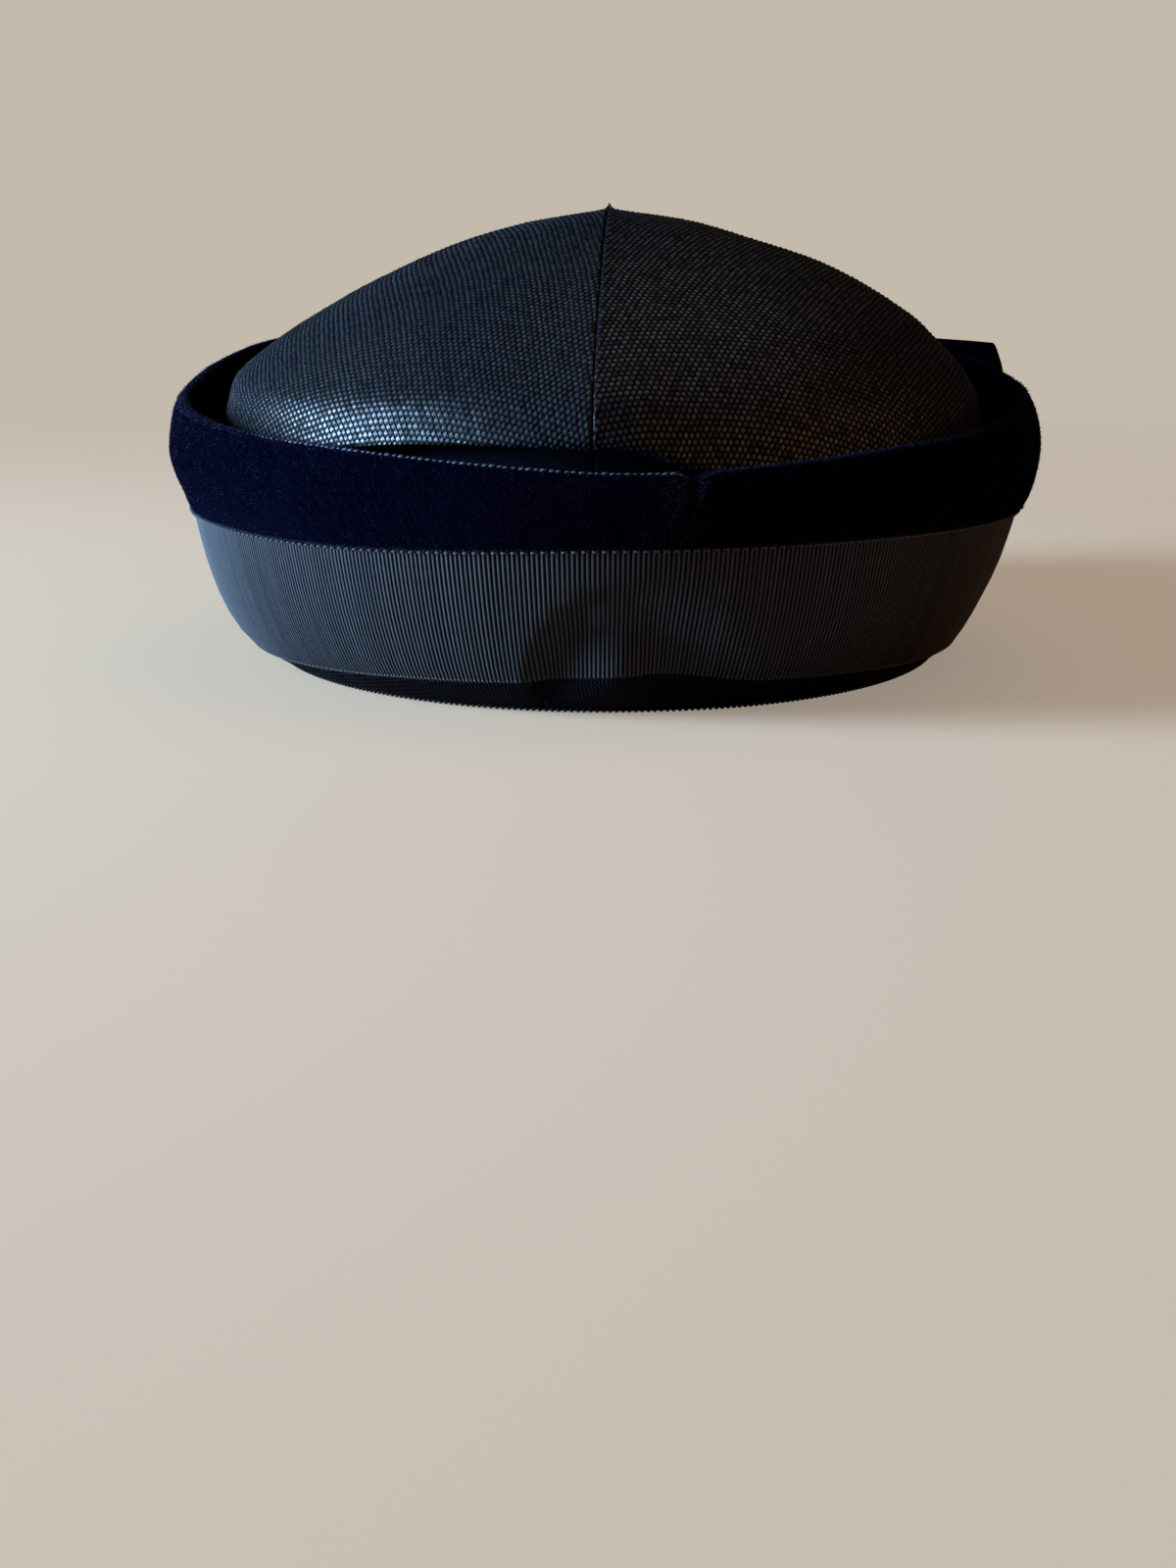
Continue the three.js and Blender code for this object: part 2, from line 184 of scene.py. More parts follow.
def on_oval(table, place, angle, height, inset=0.0):
    """Points of a table's oval rings at places along it, drawn in by inset."""
    angle, place, height = np.broadcast_arrays(*(np.asarray(v, float) for v in (angle, place, height)))
    across, along = np.sin(np.radians(angle)), np.cos(np.radians(angle))
    left, right, back, front = (
        table.read(side, place) - inset for side in ("left", "right", "back", "front")
    )
    side = left + (right - left) * (1 + across) / 2
    return np.stack([side * across, -np.where(along > 0, back, front) * along, height], -1)


def smooth_noise(seed, u, v, turn=1.0):
    """Slow waves between about -1 and 1 over two measures, the same each time for a seed."""
    dice = np.random.default_rng(seed)
    total = 0.0
    for _ in range(7):
        way, size, shift = dice.uniform(0, math.tau), dice.uniform(0.5, 1.6), dice.uniform(0, math.tau)
        total = total + np.sin(turn * size * (math.cos(way) * u + math.sin(way) * v) + shift)
    return total / 3.5


# Meshes


def put_in_scene(name, content):
    holder = bpy.data.objects.new(name, content)
    bpy.context.collection.objects.link(holder)
    return holder


def make_piece(name, points, faces, uv=None, finishes=(), attributes=None):
    """Mesh object of points in millimetres. uv has one pair for each point."""
    mesh = bpy.data.meshes.new(name)
    mesh.from_pydata((np.asarray(points, float) * MM).tolist(), [], faces)
    mesh.shade_smooth()
    for finish in finishes:
        mesh.materials.append(finish)
    if uv is not None:
        corners = np.zeros(len(mesh.loops), np.int32)
        mesh.loops.foreach_get("vertex_index", corners)
        layer = mesh.uv_layers.new(name="cloth")
        layer.data.foreach_set("uv", np.asarray(uv, float)[corners].ravel())
    for key, values in (attributes or {}).items():
        values = np.asarray(values, float)
        kind = "FLOAT_VECTOR" if values.ndim == 2 else "FLOAT"
        attribute = mesh.attributes.new(key, kind, "POINT")
        attribute.data.foreach_set("vector" if values.ndim == 2 else "value", values.ravel())
    return put_in_scene(name, mesh)


def ring_piece(name, finish, sides, around, up):
    """A tube bent into a ring: a closed section at each ring, listed up its outer side first.

    The sides of the section are arrays of rings by points by three. The cloth's own measures are around,
    one for each ring, and up, one for each point.
    """
    sections = np.concatenate(sides, axis=1)
    rings, count = sections.shape[:2]
    uv = np.stack(np.broadcast_arrays(around[:, None], up), -1)
    i, k = np.meshgrid(np.arange(rings), np.arange(count), indexing="ij")
    j, above = (i + 1) % rings, (k + 1) % count
    faces = np.stack([i * count + k, j * count + k, j * count + above, i * count + above], -1)
    return make_piece(
        name, sections.reshape(-1, 3), faces.reshape(-1, 4).tolist(), uv.reshape(-1, 2), [finish])


# Nodes, for materials and for what repeats


def plug(tree, socket, value):
    """Links the socket to another one, or gives it a value of its own."""
    value = getattr(value, "socket", value)
    if isinstance(value, bpy.types.NodeSocket):
        tree.links.new(value, socket)
    else:
        socket.default_value = value


def add_node(tree, kind, settings=None, inputs=None):
    """A node with its settings made first, and then its sockets, by name or number."""
    node = tree.nodes.new(kind)
    for key, value in (settings or {}).items():
        setattr(node, key, value)
    for key, value in (inputs or {}).items():
        plug(tree, node.inputs[key], value)
    return node


class Signal:
    """A number in a material that Python's own signs work on."""

    def __init__(self, finish, socket):
        self.finish, self.socket = finish, socket

    def maths(self, operation, *numbers, clamp=False):
        settings = {"operation": operation, "use_clamp": clamp}
        node = self.finish.add("ShaderNodeMath", settings, dict(enumerate(numbers)))
        return self.finish.signal(node)

    def __add__(self, other):
        return self.maths("ADD", self, other)

    def __sub__(self, other):
        return self.maths("SUBTRACT", self, other)

    def __rsub__(self, other):
        return self.maths("SUBTRACT", other, self)

    def __mul__(self, other):
        return self.maths("MULTIPLY", self, other)

    def __truediv__(self, other):
        return self.maths("DIVIDE", self, other)

    def __pow__(self, other):
        return self.maths("POWER", self, other)

    def __mod__(self, other):
        return self.maths("FLOORED_MODULO", self, other)

    def floor(self):
        return self.maths("FLOOR", self)

    def abs(self):
        return self.maths("ABSOLUTE", self)

    def sine(self):
        return self.maths("SINE", self)

    def clamped(self):
        return self.maths("ADD", self, 0.0, clamp=True)

    def step(self, low, high):
        """0 below low and 1 above high, with a soft change between."""
        inputs = {"Value": self, "From Min": low, "From Max": high}
        node = self.finish.add("ShaderNodeMapRange", {"interpolation_type": "SMOOTHSTEP"}, inputs)
        return self.finish.signal(node, "Result")

    __radd__, __rmul__ = __add__, __mul__


class Finish:
    """A material built node by node."""

    def __init__(self, name, **shader):
        self.material = bpy.data.materials.new(name)
        self.material.use_nodes = True
        self.tree = self.material.node_tree
        self.tree.nodes.clear()
        self.shader = self.add("ShaderNodeBsdfPrincipled", None, shader)
        self.surface = self.add(
            "ShaderNodeOutputMaterial", None, {"Surface": self.shader.outputs[0]}).inputs["Surface"]

    def add(self, kind, settings=None, inputs=None):
        return add_node(self.tree, kind, settings, inputs)

    def signal(self, node, output=0):
        return Signal(self, node.outputs[output])

    def first_two(self, vector):
        node = self.add("ShaderNodeSeparateXYZ", None, {0: vector})
        return self.signal(node, 0), self.signal(node, 1)

    def cloth(self):
        """The two measures along the piece's own cloth."""
        return self.first_two(self.add("ShaderNodeUVMap", {"uv_map": "cloth"}).outputs[0])

    def place(self):
        return self.add("ShaderNodeTexCoord").outputs["Object"]

    def vector(self, x, y, z=0.0):
        return self.add("ShaderNodeCombineXYZ", None, {0: x, 1: y, 2: z}).outputs[0]

    def noise(self, vector, scale, detail=2.0, roughness=0.5):
        inputs = {"Vector": vector, "Scale": scale, "Detail": detail, "Roughness": roughness}
        return self.signal(self.add("ShaderNodeTexNoise", None, inputs))

    def dice(self, x, y):
        settings, inputs = {"noise_dimensions": "2D"}, {"Vector": self.vector(x, y)}
        return self.signal(self.add("ShaderNodeTexWhiteNoise", settings, inputs))

    def mix(self, share, first, second):
        """A colour from first to second as share goes from 0 to 1."""
        node = self.add("ShaderNodeMix", {"data_type": "RGBA"}, {0: share, 6: first, 7: second})
        return node.outputs[2]

    def feed(self, name, value):
        plug(self.tree, self.shader.inputs[name], value)

    def bump(self, height, depth_mm, strength):
        inputs = {"Height": height, "Distance": depth_mm * MM, "Strength": strength}
        self.feed("Normal", self.add("ShaderNodeBump", None, inputs).outputs[0])


def shade(red, green, blue):
    return (red, green, blue, 1.0)


def darker(colour, share):
    return shade(*(v * share for v in colour[:3]))


def straw_cloth_finish():
    """Flat glossy straws, with painted shade on the straws that lie under and in the gaps between straws: the
    ones along the cloth lie over every second crossing.
    """
    finish = Finish("straw_cloth", **{"Specular IOR Level": 0.03, "Coat Roughness": 0.39, "Coat IOR": 1.6})
    column, row = finish.cloth()
    walked = row + column.floor() + 0.5
    number = (walked / 2.0).floor()
    along, across = (walked % 2.0) - 1.0, (column % 1.0) - 0.5
    under = along.abs().step(0.50, 0.76)
    gap = (across.abs() * 2.0).step(0.45, 0.92)
    straw = finish.dice(column.floor(), number)
    tilt_across = finish.dice(column.floor() + 0.3, number + 0.3) - 0.5
    tilt_along = finish.dice(column.floor() + 0.6, number + 0.6) - 0.5
    long_straw = finish.dice(column.floor(), 7.0)
    patch = finish.noise(finish.place(), 26.0, 2.0).step(0.35, 0.7)
    lying_over = finish.mix((straw * 0.35 + long_straw * 0.6).clamped(),
                            shade(0.0035, 0.004, 0.006), shade(0.015, 0.016, 0.021))
    # Painted shade: the straws that lie under are coloured several times darker than the straws over them.
    under_straw_painted_shade = finish.mix(straw, shade(0.0007, 0.0009, 0.0020), shade(0.0018, 0.0022, 0.0038))
    colour = finish.mix(under, lying_over, under_straw_painted_shade)
    colour = finish.mix(patch * 0.4, colour, shade(0.012, 0.010, 0.0075))
    # Painted shade: the gaps between straws are darkened towards black, more in some columns than others.
    colour = finish.mix(gap * (0.5 + long_straw * 0.45), colour, shade(0.0003, 0.0004, 0.0010))
    finish.feed("Base Color", colour)
    fibres = finish.noise(finish.vector(column * 9.0, row * 1.2), 1.0, 3.0)
    finish.feed("Roughness", 0.5 + straw * 0.2)
    shine = (1.0 - under * 0.96) * (1.0 - gap.step(0.0, 0.5)) * (0.22 + straw * 0.75)
    finish.feed("Coat Weight", shine.clamped())
    swell = (1.0 - across * across * 3.6 - along * along * 1.6).clamped() * 0.95
    tilt = across * tilt_across * 0.9 + along * tilt_along * 0.5
    finish.bump(swell + tilt + fibres * 0.08, 0.42, 1.0)
    return finish.material


def velvet_finish():
    """Short pile: near-black navy, with slanting rows, and painted highlights on pile tips here and there."""
    finish = Finish("velvet", **{
        "Roughness": 0.95, "Specular IOR Level": 0.0, "Sheen Weight": 0.02, "Sheen Roughness": 0.3,
        "Sheen Tint": shade(0.28, 0.38, 0.95),
    })
    around, up = finish.cloth()
    slant = finish.vector(around + up * 0.45, up * 0.22)
    rows = finish.noise(slant, 1.25, 2.0)
    pile = finish.noise(finish.vector(around, up), 3.2, 3.0)
    tip_painted_highlight = finish.noise(finish.vector(around * 2.1, up * 1.5), 1.0, 2.0, 0.7).step(0.60, 0.76)
    brushed = finish.noise(finish.place(), 38.0, 2.0).step(0.4, 0.75)
    dark = finish.mix(pile, shade(0.0002, 0.0002, 0.0007), shade(0.0006, 0.0005, 0.0026))
    dark = finish.mix(rows.step(0.50, 0.64) * 0.55, dark, shade(0.0015, 0.0015, 0.0060))
    dark = finish.mix(brushed * 0.4, dark, shade(0.0008, 0.0008, 0.0038))
    # Painted highlight: pile tips here and there are coloured lighter, as if lit.
    finish.feed("Base Color", finish.mix(tip_painted_highlight * 0.8, dark, shade(0.0068, 0.0072, 0.0165)))
    finish.bump(rows * 0.8 + pile * 0.8, 0.5, 0.9)
    return finish.material


def ribbon_finish(name, light, dark):
    """Ribbed ribbon: round ribs with painted shade in the valleys between them, and fine threads across them.
    """
    finish = Finish(name, **{
        "Specular IOR Level": 0.05, "Sheen Weight": 0.015, "Sheen Roughness": 0.4,
        "Sheen Tint": shade(0.5, 0.58, 0.7),
    })
    rib, up = finish.cloth()
    across = ((rib % 1.0) - 0.5).abs() * 2.0
    valley = across.step(0.22, 0.72)
    threads = (up * 22.0).sine() * 0.5 + 0.5
    worn = finish.noise(finish.vector(rib * 0.7, up * 0.35), 0.6, 3.0)
    own = finish.dice(rib.floor(), 1.0)
    colour = finish.mix((worn * 0.6 + own * 0.5).clamped(), dark, light)
    # Painted shade: the valleys between the ribs are darkened nearly to black.
    finish.feed("Base Color", finish.mix(valley * 0.98, colour, darker(dark, 0.06)))
    finish.feed("Roughness", 0.56 + worn * 0.18)
    grain = finish.noise(finish.vector(rib * 3.0, up * 3.0), 1.0, 2.0)
    finish.bump(threads * (1.0 - valley) + grain * 0.6, 0.05, 0.6)
    return finish.material


def twill_finish():
    """The dark strip under the ribbon, with painted highlights on its slanting ridges and painted shade
    between them.
    """
    finish = Finish("foot_twill", **{"Roughness": 0.6, "Specular IOR Level": 0.04})
    around, up = finish.cloth()
    ridge = ((around + up * TWILL_SLANT) / TWILL_PITCH * math.tau + math.pi / 2).sine() * 0.5 + 0.5
    worn = finish.noise(finish.vector(around * 0.5, up * 0.5), 0.8, 3.0)
    # Painted light: the ridge crests are coloured lighter, as if lit, and the hollows between them near
    # black.
    crest = finish.mix(worn, shade(0.0025, 0.0030, 0.0055), shade(0.0190, 0.0210, 0.0300))
    finish.feed("Base Color", finish.mix(ridge.step(0.62, 0.97), shade(0.0001, 0.0001, 0.0006), crest))
    finish.bump(finish.noise(finish.vector(around * 5.0, up * 2.0), 1.0, 2.0), 0.08, 0.6)
    return finish.material


def thread_finish(name, colour, roughness=0.7):
    finish = Finish(name, **{"Specular IOR Level": 0.08, "Sheen Weight": 0.03, "Sheen Roughness": 0.4})
    spots = finish.noise(finish.place(), 900.0, 2.0)
    finish.feed("Base Color", finish.mix(spots, darker(colour, 0.6), colour))
    finish.feed("Roughness", roughness + spots * 0.15)
    return finish.material


STRAW = straw_cloth_finish()
VELVET = velvet_finish()
GROSGRAIN = ribbon_finish("grosgrain", shade(0.067, 0.065, 0.070), shade(0.038, 0.036, 0.038))
HEAD_GROSGRAIN = ribbon_finish("head_ribbon", shade(0.014, 0.014, 0.018), shade(0.008, 0.008, 0.011))
PALE_THREAD = thread_finish("pale_thread", shade(0.095, 0.105, 0.130))
DARK_THREAD = thread_finish("dark_thread", shade(0.012, 0.012, 0.016))
RIBBON_THREAD = thread_finish("ribbon_thread", shade(0.078, 0.074, 0.074))
# Painted sheen: the pile tufts are coloured several times lighter than the velvet they stand on.
PILE_PAINTED_SHEEN = thread_finish("pile", shade(0.0088, 0.0090, 0.0260), 0.9)
# Painted light: the crown's foot, seen in the shaded slit, is coloured a lighter navy than the velvet so the
# slit does not go black.
CROWN_FOOT_PAINTED_LIGHT = thread_finish("crown_foot", shade(0.0036, 0.0038, 0.0115), 0.9)
TWILL = twill_finish()


class Repeater:
    """A Geometry Nodes tree, with named inputs for its sizes in millimetres, that ends in a plain mesh."""

    def __init__(self, name, sizes):
        self.tree = bpy.data.node_groups.new(name, "GeometryNodeTree")
        face = self.tree.interface
        face.new_socket("Geometry", in_out="INPUT", socket_type="NodeSocketGeometry")
        face.new_socket("Geometry", in_out="OUTPUT", socket_type="NodeSocketGeometry")
        self.sizes = {}
        for key, value in sizes.items():
            socket = face.new_socket(key, in_out="INPUT", socket_type="NodeSocketFloat")
            self.sizes[socket.identifier] = value * MM
        self.start = self.add("NodeGroupInput")

    def add(self, kind, settings=None, inputs=None):
        return add_node(self.tree, kind, settings, inputs)

    def size(self, name):
        return self.start.outputs[name]

    def read(self, name, kind):
        return self.add("GeometryNodeInputNamedAttribute", {"data_type": kind}, {"Name": name}).outputs[0]

    def on_points(self, shape, material):
        """The shape on every point, its Z along facing, its X along the path, and as big as size says."""
        turn = self.add("FunctionNodeAxesToRotation", {"primary_axis": "Z", "secondary_axis": "X"},
                        {0: self.read("facing", "FLOAT_VECTOR"), 1: self.read("along", "FLOAT_VECTOR")})
        instances = self.add("GeometryNodeInstanceOnPoints", None, {
            "Points": self.size("Geometry"), "Instance": shape, "Rotation": turn.outputs[0],
            "Scale": self.read("size", "FLOAT")})
        real = self.add("GeometryNodeRealizeInstances", None, {0: instances.outputs[0]})
        painted = self.add("GeometryNodeSetMaterial", None, {0: real.outputs[0], "Material": material})
        self.add("NodeGroupOutput", None, {0: painted.outputs[0]})

    def make(self, name, places, facing, along, sizes=None):
        """The tree's result on a point at each place, as a plain mesh piece."""
        sizes = np.ones(len(places)) if sizes is None else sizes
        base = make_piece(name, places, [], attributes={"facing": facing, "along": along, "size": sizes})
        modifier = base.modifiers.new("repeat", "NODES")
        modifier.node_group = self.tree
        for identifier, value in self.sizes.items():
            modifier[identifier] = value
        bpy.context.view_layer.update()
        mesh = bpy.data.meshes.new_from_object(base.evaluated_get(bpy.context.evaluated_depsgraph_get()))
        mesh.name = name
        mesh.shade_smooth()
        bpy.data.objects.remove(base)
        return put_in_scene(name, mesh)


def thread_arches(name, frames, material, width, height, thread, upwards):
    """A small arch of thread at each place, up or down: the looped edge of a ribbon."""
    repeat = Repeater(name, {"Arch width": width, "Arch height": height, "Thread": thread})
    arc = repeat.add("GeometryNodeCurveArc", {"mode": "RADIUS"}, {
        "Resolution": 7, "Radius": 1.0, "Start Angle": 0.0, "Sweep Angle": math.pi})
    strand = repeat.add("GeometryNodeCurvePrimitiveCircle", {"mode": "RADIUS"}, {
        "Resolution": 5, "Radius": repeat.size("Thread")})
    half = repeat.add("ShaderNodeMath", {"operation": "DIVIDE"}, {0: repeat.size("Arch width"), 1: 2.0})
    size = repeat.add("ShaderNodeCombineXYZ", None, {0: half.outputs[0], 1: repeat.size("Arch height")})
    oval = repeat.add("GeometryNodeTransform", None, {"Geometry": arc.outputs[0], "Scale": size.outputs[0]})
    upright = repeat.add("GeometryNodeTransform", None, {
        "Geometry": oval.outputs[0], "Rotation": (math.radians(90 if upwards else -90), 0, 0)})
    arch = repeat.add("GeometryNodeCurveToMesh", None, {
        "Curve": upright.outputs[0], "Profile Curve": strand.outputs[0], "Fill Caps": True})
    repeat.on_points(arch.outputs[0], material)
    return repeat.make(name, *frames)


def beads(name, frames, material, length, width, height):
    """A small oval bead of thread lying at each place."""
    repeat = Repeater(name, {"Length": length, "Width": width, "Height": height})
    ball = repeat.add("GeometryNodeMeshIcoSphere", None, {"Radius": 0.5, "Subdivisions": 2})
    size = repeat.add("ShaderNodeCombineXYZ", None, {
        0: repeat.size("Length"), 1: repeat.size("Width"), 2: repeat.size("Height")})
    oval = repeat.add("GeometryNodeTransform", None, {"Geometry": ball.outputs[0], "Scale": size.outputs[0]})
    repeat.on_points(oval.outputs[0], material)
    return repeat.make(name, *frames)


def tufts(name, frames, material, length, thickness):
    """A thin pointed tuft of pile standing at each place."""
    repeat = Repeater(name, {"Length": length, "Thickness": thickness})
    tuft = repeat.add("GeometryNodeMeshCone", {"fill_type": "TRIANGLE_FAN"}, {
        "Vertices": 3, "Side Segments": 1, "Fill Segments": 1, "Radius Top": 0.0,
        "Radius Bottom": repeat.size("Thickness"), "Depth": repeat.size("Length")})
    repeat.on_points(tuft.outputs[0], material)
    return repeat.make(name, *frames)


# Crown: two panels of plain-woven straw cloth

WARP_PITCH, WEFT_PITCH = 1.24, 0.83
OVER_STRAW, UNDER_STRAW, BETWEEN_STRAWS = 0.15, -0.11, -0.13
ALONG_STRAW, ACROSS_STRAW = 0.02, -0.12
WEAVE_END_LEVEL, FOLD_START_LEVEL, FOLD_END_LEVEL = 15.2, 13.4, 15.0
SKIRT_LEVELS = (15.6, 16.0, 16.4, 17.0)
CROWN_CLOTH = 1.0
FLATTEN = 0.87
PANEL_TURN = {-1: 4.7, 1: -3.3}
SEAM_HALF_GAP, SEAM_OVERLAP, SEAM_CALM = 0.07, 0.05, 0.9
LINING_SHARES = np.concatenate([np.arange(0.06, 0.86, 0.055), [0.89, 0.915, 0.935, 0.952, 0.968, 0.984]])
LINING_CLEARANCE = 1.2
SAME_PLACE = 0.06
VELVET_LEVEL = 14.5


def dome(level, angle):
    wave = round_at("crown_edge", angle) - CROWN_EDGE
    height = CROWN.read("height", level) + wave * CROWN.read("lift", level)
    points = on_oval(CROWN, level, angle, height)
    points[..., 0] += CROWN_LEAN * np.maximum(0, 1 - np.asarray(level, float) / CROWN_LEAN_LEVELS)
    return points


def crown_face(level, angle):
    """Points of the crown's smooth outer face, and the directions that it faces."""
    level, angle = np.broadcast_arrays(np.asarray(level, float), np.asarray(angle, float))
    step = 0.01
    high = np.clip(level, step, len(CROWN.rows) - 1 - step)
    down = dome(high + step, angle) - dome(high - step, angle)
    across = dome(high, angle + step) - dome(high, angle - step)
    normal = np.cross(down, across)
    size = np.linalg.norm(normal, axis=-1, keepdims=True)
    normal = np.where(level[..., None] < 0.03, (0.0, 0.0, 1.0), normal / np.maximum(size, 1e-12))
    points = dome(level, angle)
    seam = dome(level, np.where(np.abs(turned(angle)) < 90, SEAM_ANGLE, 180 + SEAM_ANGLE))
    from_seam = np.abs(points[..., 0] - seam[..., 0])
    ridge = SEAM_RIDGE * CROWN.read("ridge", level) * np.exp(-from_seam / SEAM_SPREAD)
    return points + normal * ridge[..., None], normal


class PanelCut:
    """One panel laid flat: distance from the tip along its face, and angle round the tip."""

    LEVEL_STEP = 0.05
    ANGLE_STEP = 2.0

    def __init__(self, hand):
        self.hand = hand
        levels = np.arange(0, WEAVE_END_LEVEL + self.LEVEL_STEP / 2, self.LEVEL_STEP)
        angles = np.arange(0, 180 + self.ANGLE_STEP / 2, self.ANGLE_STEP)
        points, _ = crown_face(levels[:, None], self.round(angles)[None, :])
        lengths = np.linalg.norm(np.diff(points, axis=0), axis=-1)
        walked = np.vstack([np.zeros(len(angles)), np.cumsum(lengths, axis=0)])
        self.reach = walked[-1]
        self.shares = np.linspace(0, 1, 400)
        self.levels = np.stack([
            np.interp(self.shares, walked[:, k] / walked[-1, k], levels) for k in range(len(angles))
        ], -1)
        self.angles = angles

    def round(self, angle):
        return SEAM_ANGLE + self.hand * np.asarray(angle, float)

    def edge(self, angle):
        return np.interp(angle, self.angles, self.reach)

    def level(self, walked, angle):
        share = np.clip(walked / self.edge(angle), 0, 1) * (len(self.shares) - 1)
        turn = np.clip(angle / self.ANGLE_STEP, 0, len(self.angles) - 1)
        i = np.minimum(share.astype(int), len(self.shares) - 2)
        k = np.minimum(turn.astype(int), len(self.angles) - 2)
        a, b = share - i, turn - k
        table = self.levels
        return ((1 - a) * (1 - b) * table[i, k] + a * (1 - b) * table[i + 1, k]
                + (1 - a) * b * table[i, k + 1] + a * b * table[i + 1, k + 1])

    @staticmethod
    def flat(walked, angle):
        turn = np.radians((angle - 90) * FLATTEN)
        return walked * np.cos(turn), walked * np.sin(turn)

    def fold_in(self, p, q):
        """The nearest place inside the cut to each flat place, as distance and angle from the tip."""
        walked = np.hypot(p, q)
        angle = 90 + np.degrees(np.arctan2(q, p)) / FLATTEN
        for beyond, edge_angle in ((angle < 0, 0.0), (angle > 180, 180.0)):
            way = np.radians((edge_angle - 90) * FLATTEN)
            along = np.maximum(p * math.cos(way) + q * math.sin(way), 0)
            walked = np.where(beyond, along, walked)
            angle = np.where(beyond, edge_angle, angle)
        return np.minimum(walked, self.edge(angle)), angle

    @staticmethod
    def from_seam(p, q):
        """Flat distance to the nearer of the panel's two seam lines."""
        half = math.radians(90 * FLATTEN)
        return np.maximum(p * math.sin(half) - np.abs(q) * math.cos(half), 0)


def seam_lift(hand, distance):
    """How far the cloth stands out beside the seam: the right panel's folded edge laps the left one."""
    if hand > 0:
        return 0.22 * bell((distance - 0.6) / 0.4) - 0.5 * bell(distance / 0.2)
    return -0.45 * bell(distance / 0.2)


def weave_heights(i, j, dice):
    """Height of each half-straw node: the straws along the cloth lie over every second crossing."""
    middle_column, middle_row = i % 2 == 1, j % 2 == 1
    over = ((i - 1) // 2 + (j - 1) // 2) % 2 == 0
    crossing = np.where(over, OVER_STRAW, UNDER_STRAW)
    height = np.where(middle_column & middle_row, crossing, BETWEEN_STRAWS)
    height = np.where(middle_column & ~middle_row, ALONG_STRAW, height)
    height = np.where(~middle_column & middle_row, ACROSS_STRAW, height)
    return height + dice.normal(0, 0.02, i.shape[0])[:, None] + dice.normal(0, 0.025, i.shape)


def boundary_edges(triangles):
    """Directed edges of the triangles that no other triangle shares."""
    edges = np.concatenate([triangles[:, [0, 1]], triangles[:, [1, 2]], triangles[:, [2, 0]]])
    ordered = np.sort(edges, axis=1)
    _, first, uses = np.unique(ordered, axis=0, return_index=True, return_counts=True)
    return edges[first[uses == 1]]


def woven_grid(cut):
    """The weave laid on a flat cut: its points, with those past the cut drawn in to its edge.

    Gives distance and angle from the tip, height of the relief, place in the weave, and triangles.
    """
    hand, turn = cut.hand, math.radians(PANEL_TURN[cut.hand])
    far = float(cut.reach.max()) + 2
    reach_u, reach_v = int(far / (WARP_PITCH / 2)), int(far / (WEFT_PITCH / 2))
    i, j = np.meshgrid(np.arange(-reach_u, reach_u + 1), np.arange(-reach_v, reach_v + 1), indexing="ij")
    u, v = i * WARP_PITCH / 2, j * WEFT_PITCH / 2
    drift = 0.22 * smooth_noise(21 + hand, u, v, 0.12) + 0.10 * smooth_noise(23 + hand, u, v, 0.9)
    p = (u + drift) * math.cos(turn) - v * math.sin(turn)
    q = (u + drift) * math.sin(turn) + v * math.cos(turn)
    heights = weave_heights(i, j, np.random.default_rng(11 + hand))

    walked, angle = cut.fold_in(p, q)
    flat_p, flat_q = cut.flat(walked, angle)
    inside = np.hypot(flat_p - p, flat_q - q) < 1e-6
    quad_in = inside[:-1, :-1] | inside[1:, :-1] | inside[1:, 1:] | inside[:-1, 1:]
    number = np.arange(i.size).reshape(i.shape)
    quads = np.stack([number[:-1, :-1], number[1:, :-1], number[1:, 1:], number[:-1, 1:]], -1)[quad_in]
    even = (quads[:, 0] // i.shape[1] + quads[:, 0] % i.shape[1]) % 2 == 0
    triangles = np.concatenate([
        quads[even][:, [0, 1, 2]], quads[even][:, [0, 2, 3]],
        quads[~even][:, [0, 1, 3]], quads[~even][:, [1, 2, 3]],
    ])
    triangles = triangles[inside.ravel()[triangles].any(axis=1)]

    # Points drawn in to the same place become one, and the triangles between them go
    keys = np.round(np.stack([flat_p.ravel(), flat_q.ravel()], -1) / SAME_PLACE).astype(np.int64)
    _, first, same = np.unique(keys, axis=0, return_index=True, return_inverse=True)
    triangles = first[same.reshape(-1)[triangles]]
    triangles = triangles[(triangles != np.roll(triangles, 1, axis=1)).all(axis=1)]
    used, triangles = np.unique(triangles, return_inverse=True)
    weave = np.stack([i.ravel()[used] / 2, j.ravel()[used] / 2], -1)
    return (*(values.ravel()[used] for values in (walked, angle, heights)), weave, triangles.reshape(-1, 3))


def lining_points(cut):
    """Sparse distances and angles from the tip, clear of the seams, for the inside of a panel."""
    places = np.array([
        (share * cut.edge(way), way) for share in LINING_SHARES
        for way in np.linspace(0, 180, max(int(180 * share / 4), 5) + 1)[1:-1]])
    return places[cut.from_seam(*cut.flat(*places.T)) > LINING_CLEARANCE].T


def strips(rows):
    """Triangles between rows of point numbers that follow each other downwards."""
    found = []
    for upper, lower in zip(rows, rows[1:]):
        a, b, c, d = upper[:-1], lower[:-1], lower[1:], upper[1:]
        found += [np.stack([a, b, c], -1), np.stack([a, c, d], -1)]
    return np.concatenate(found)


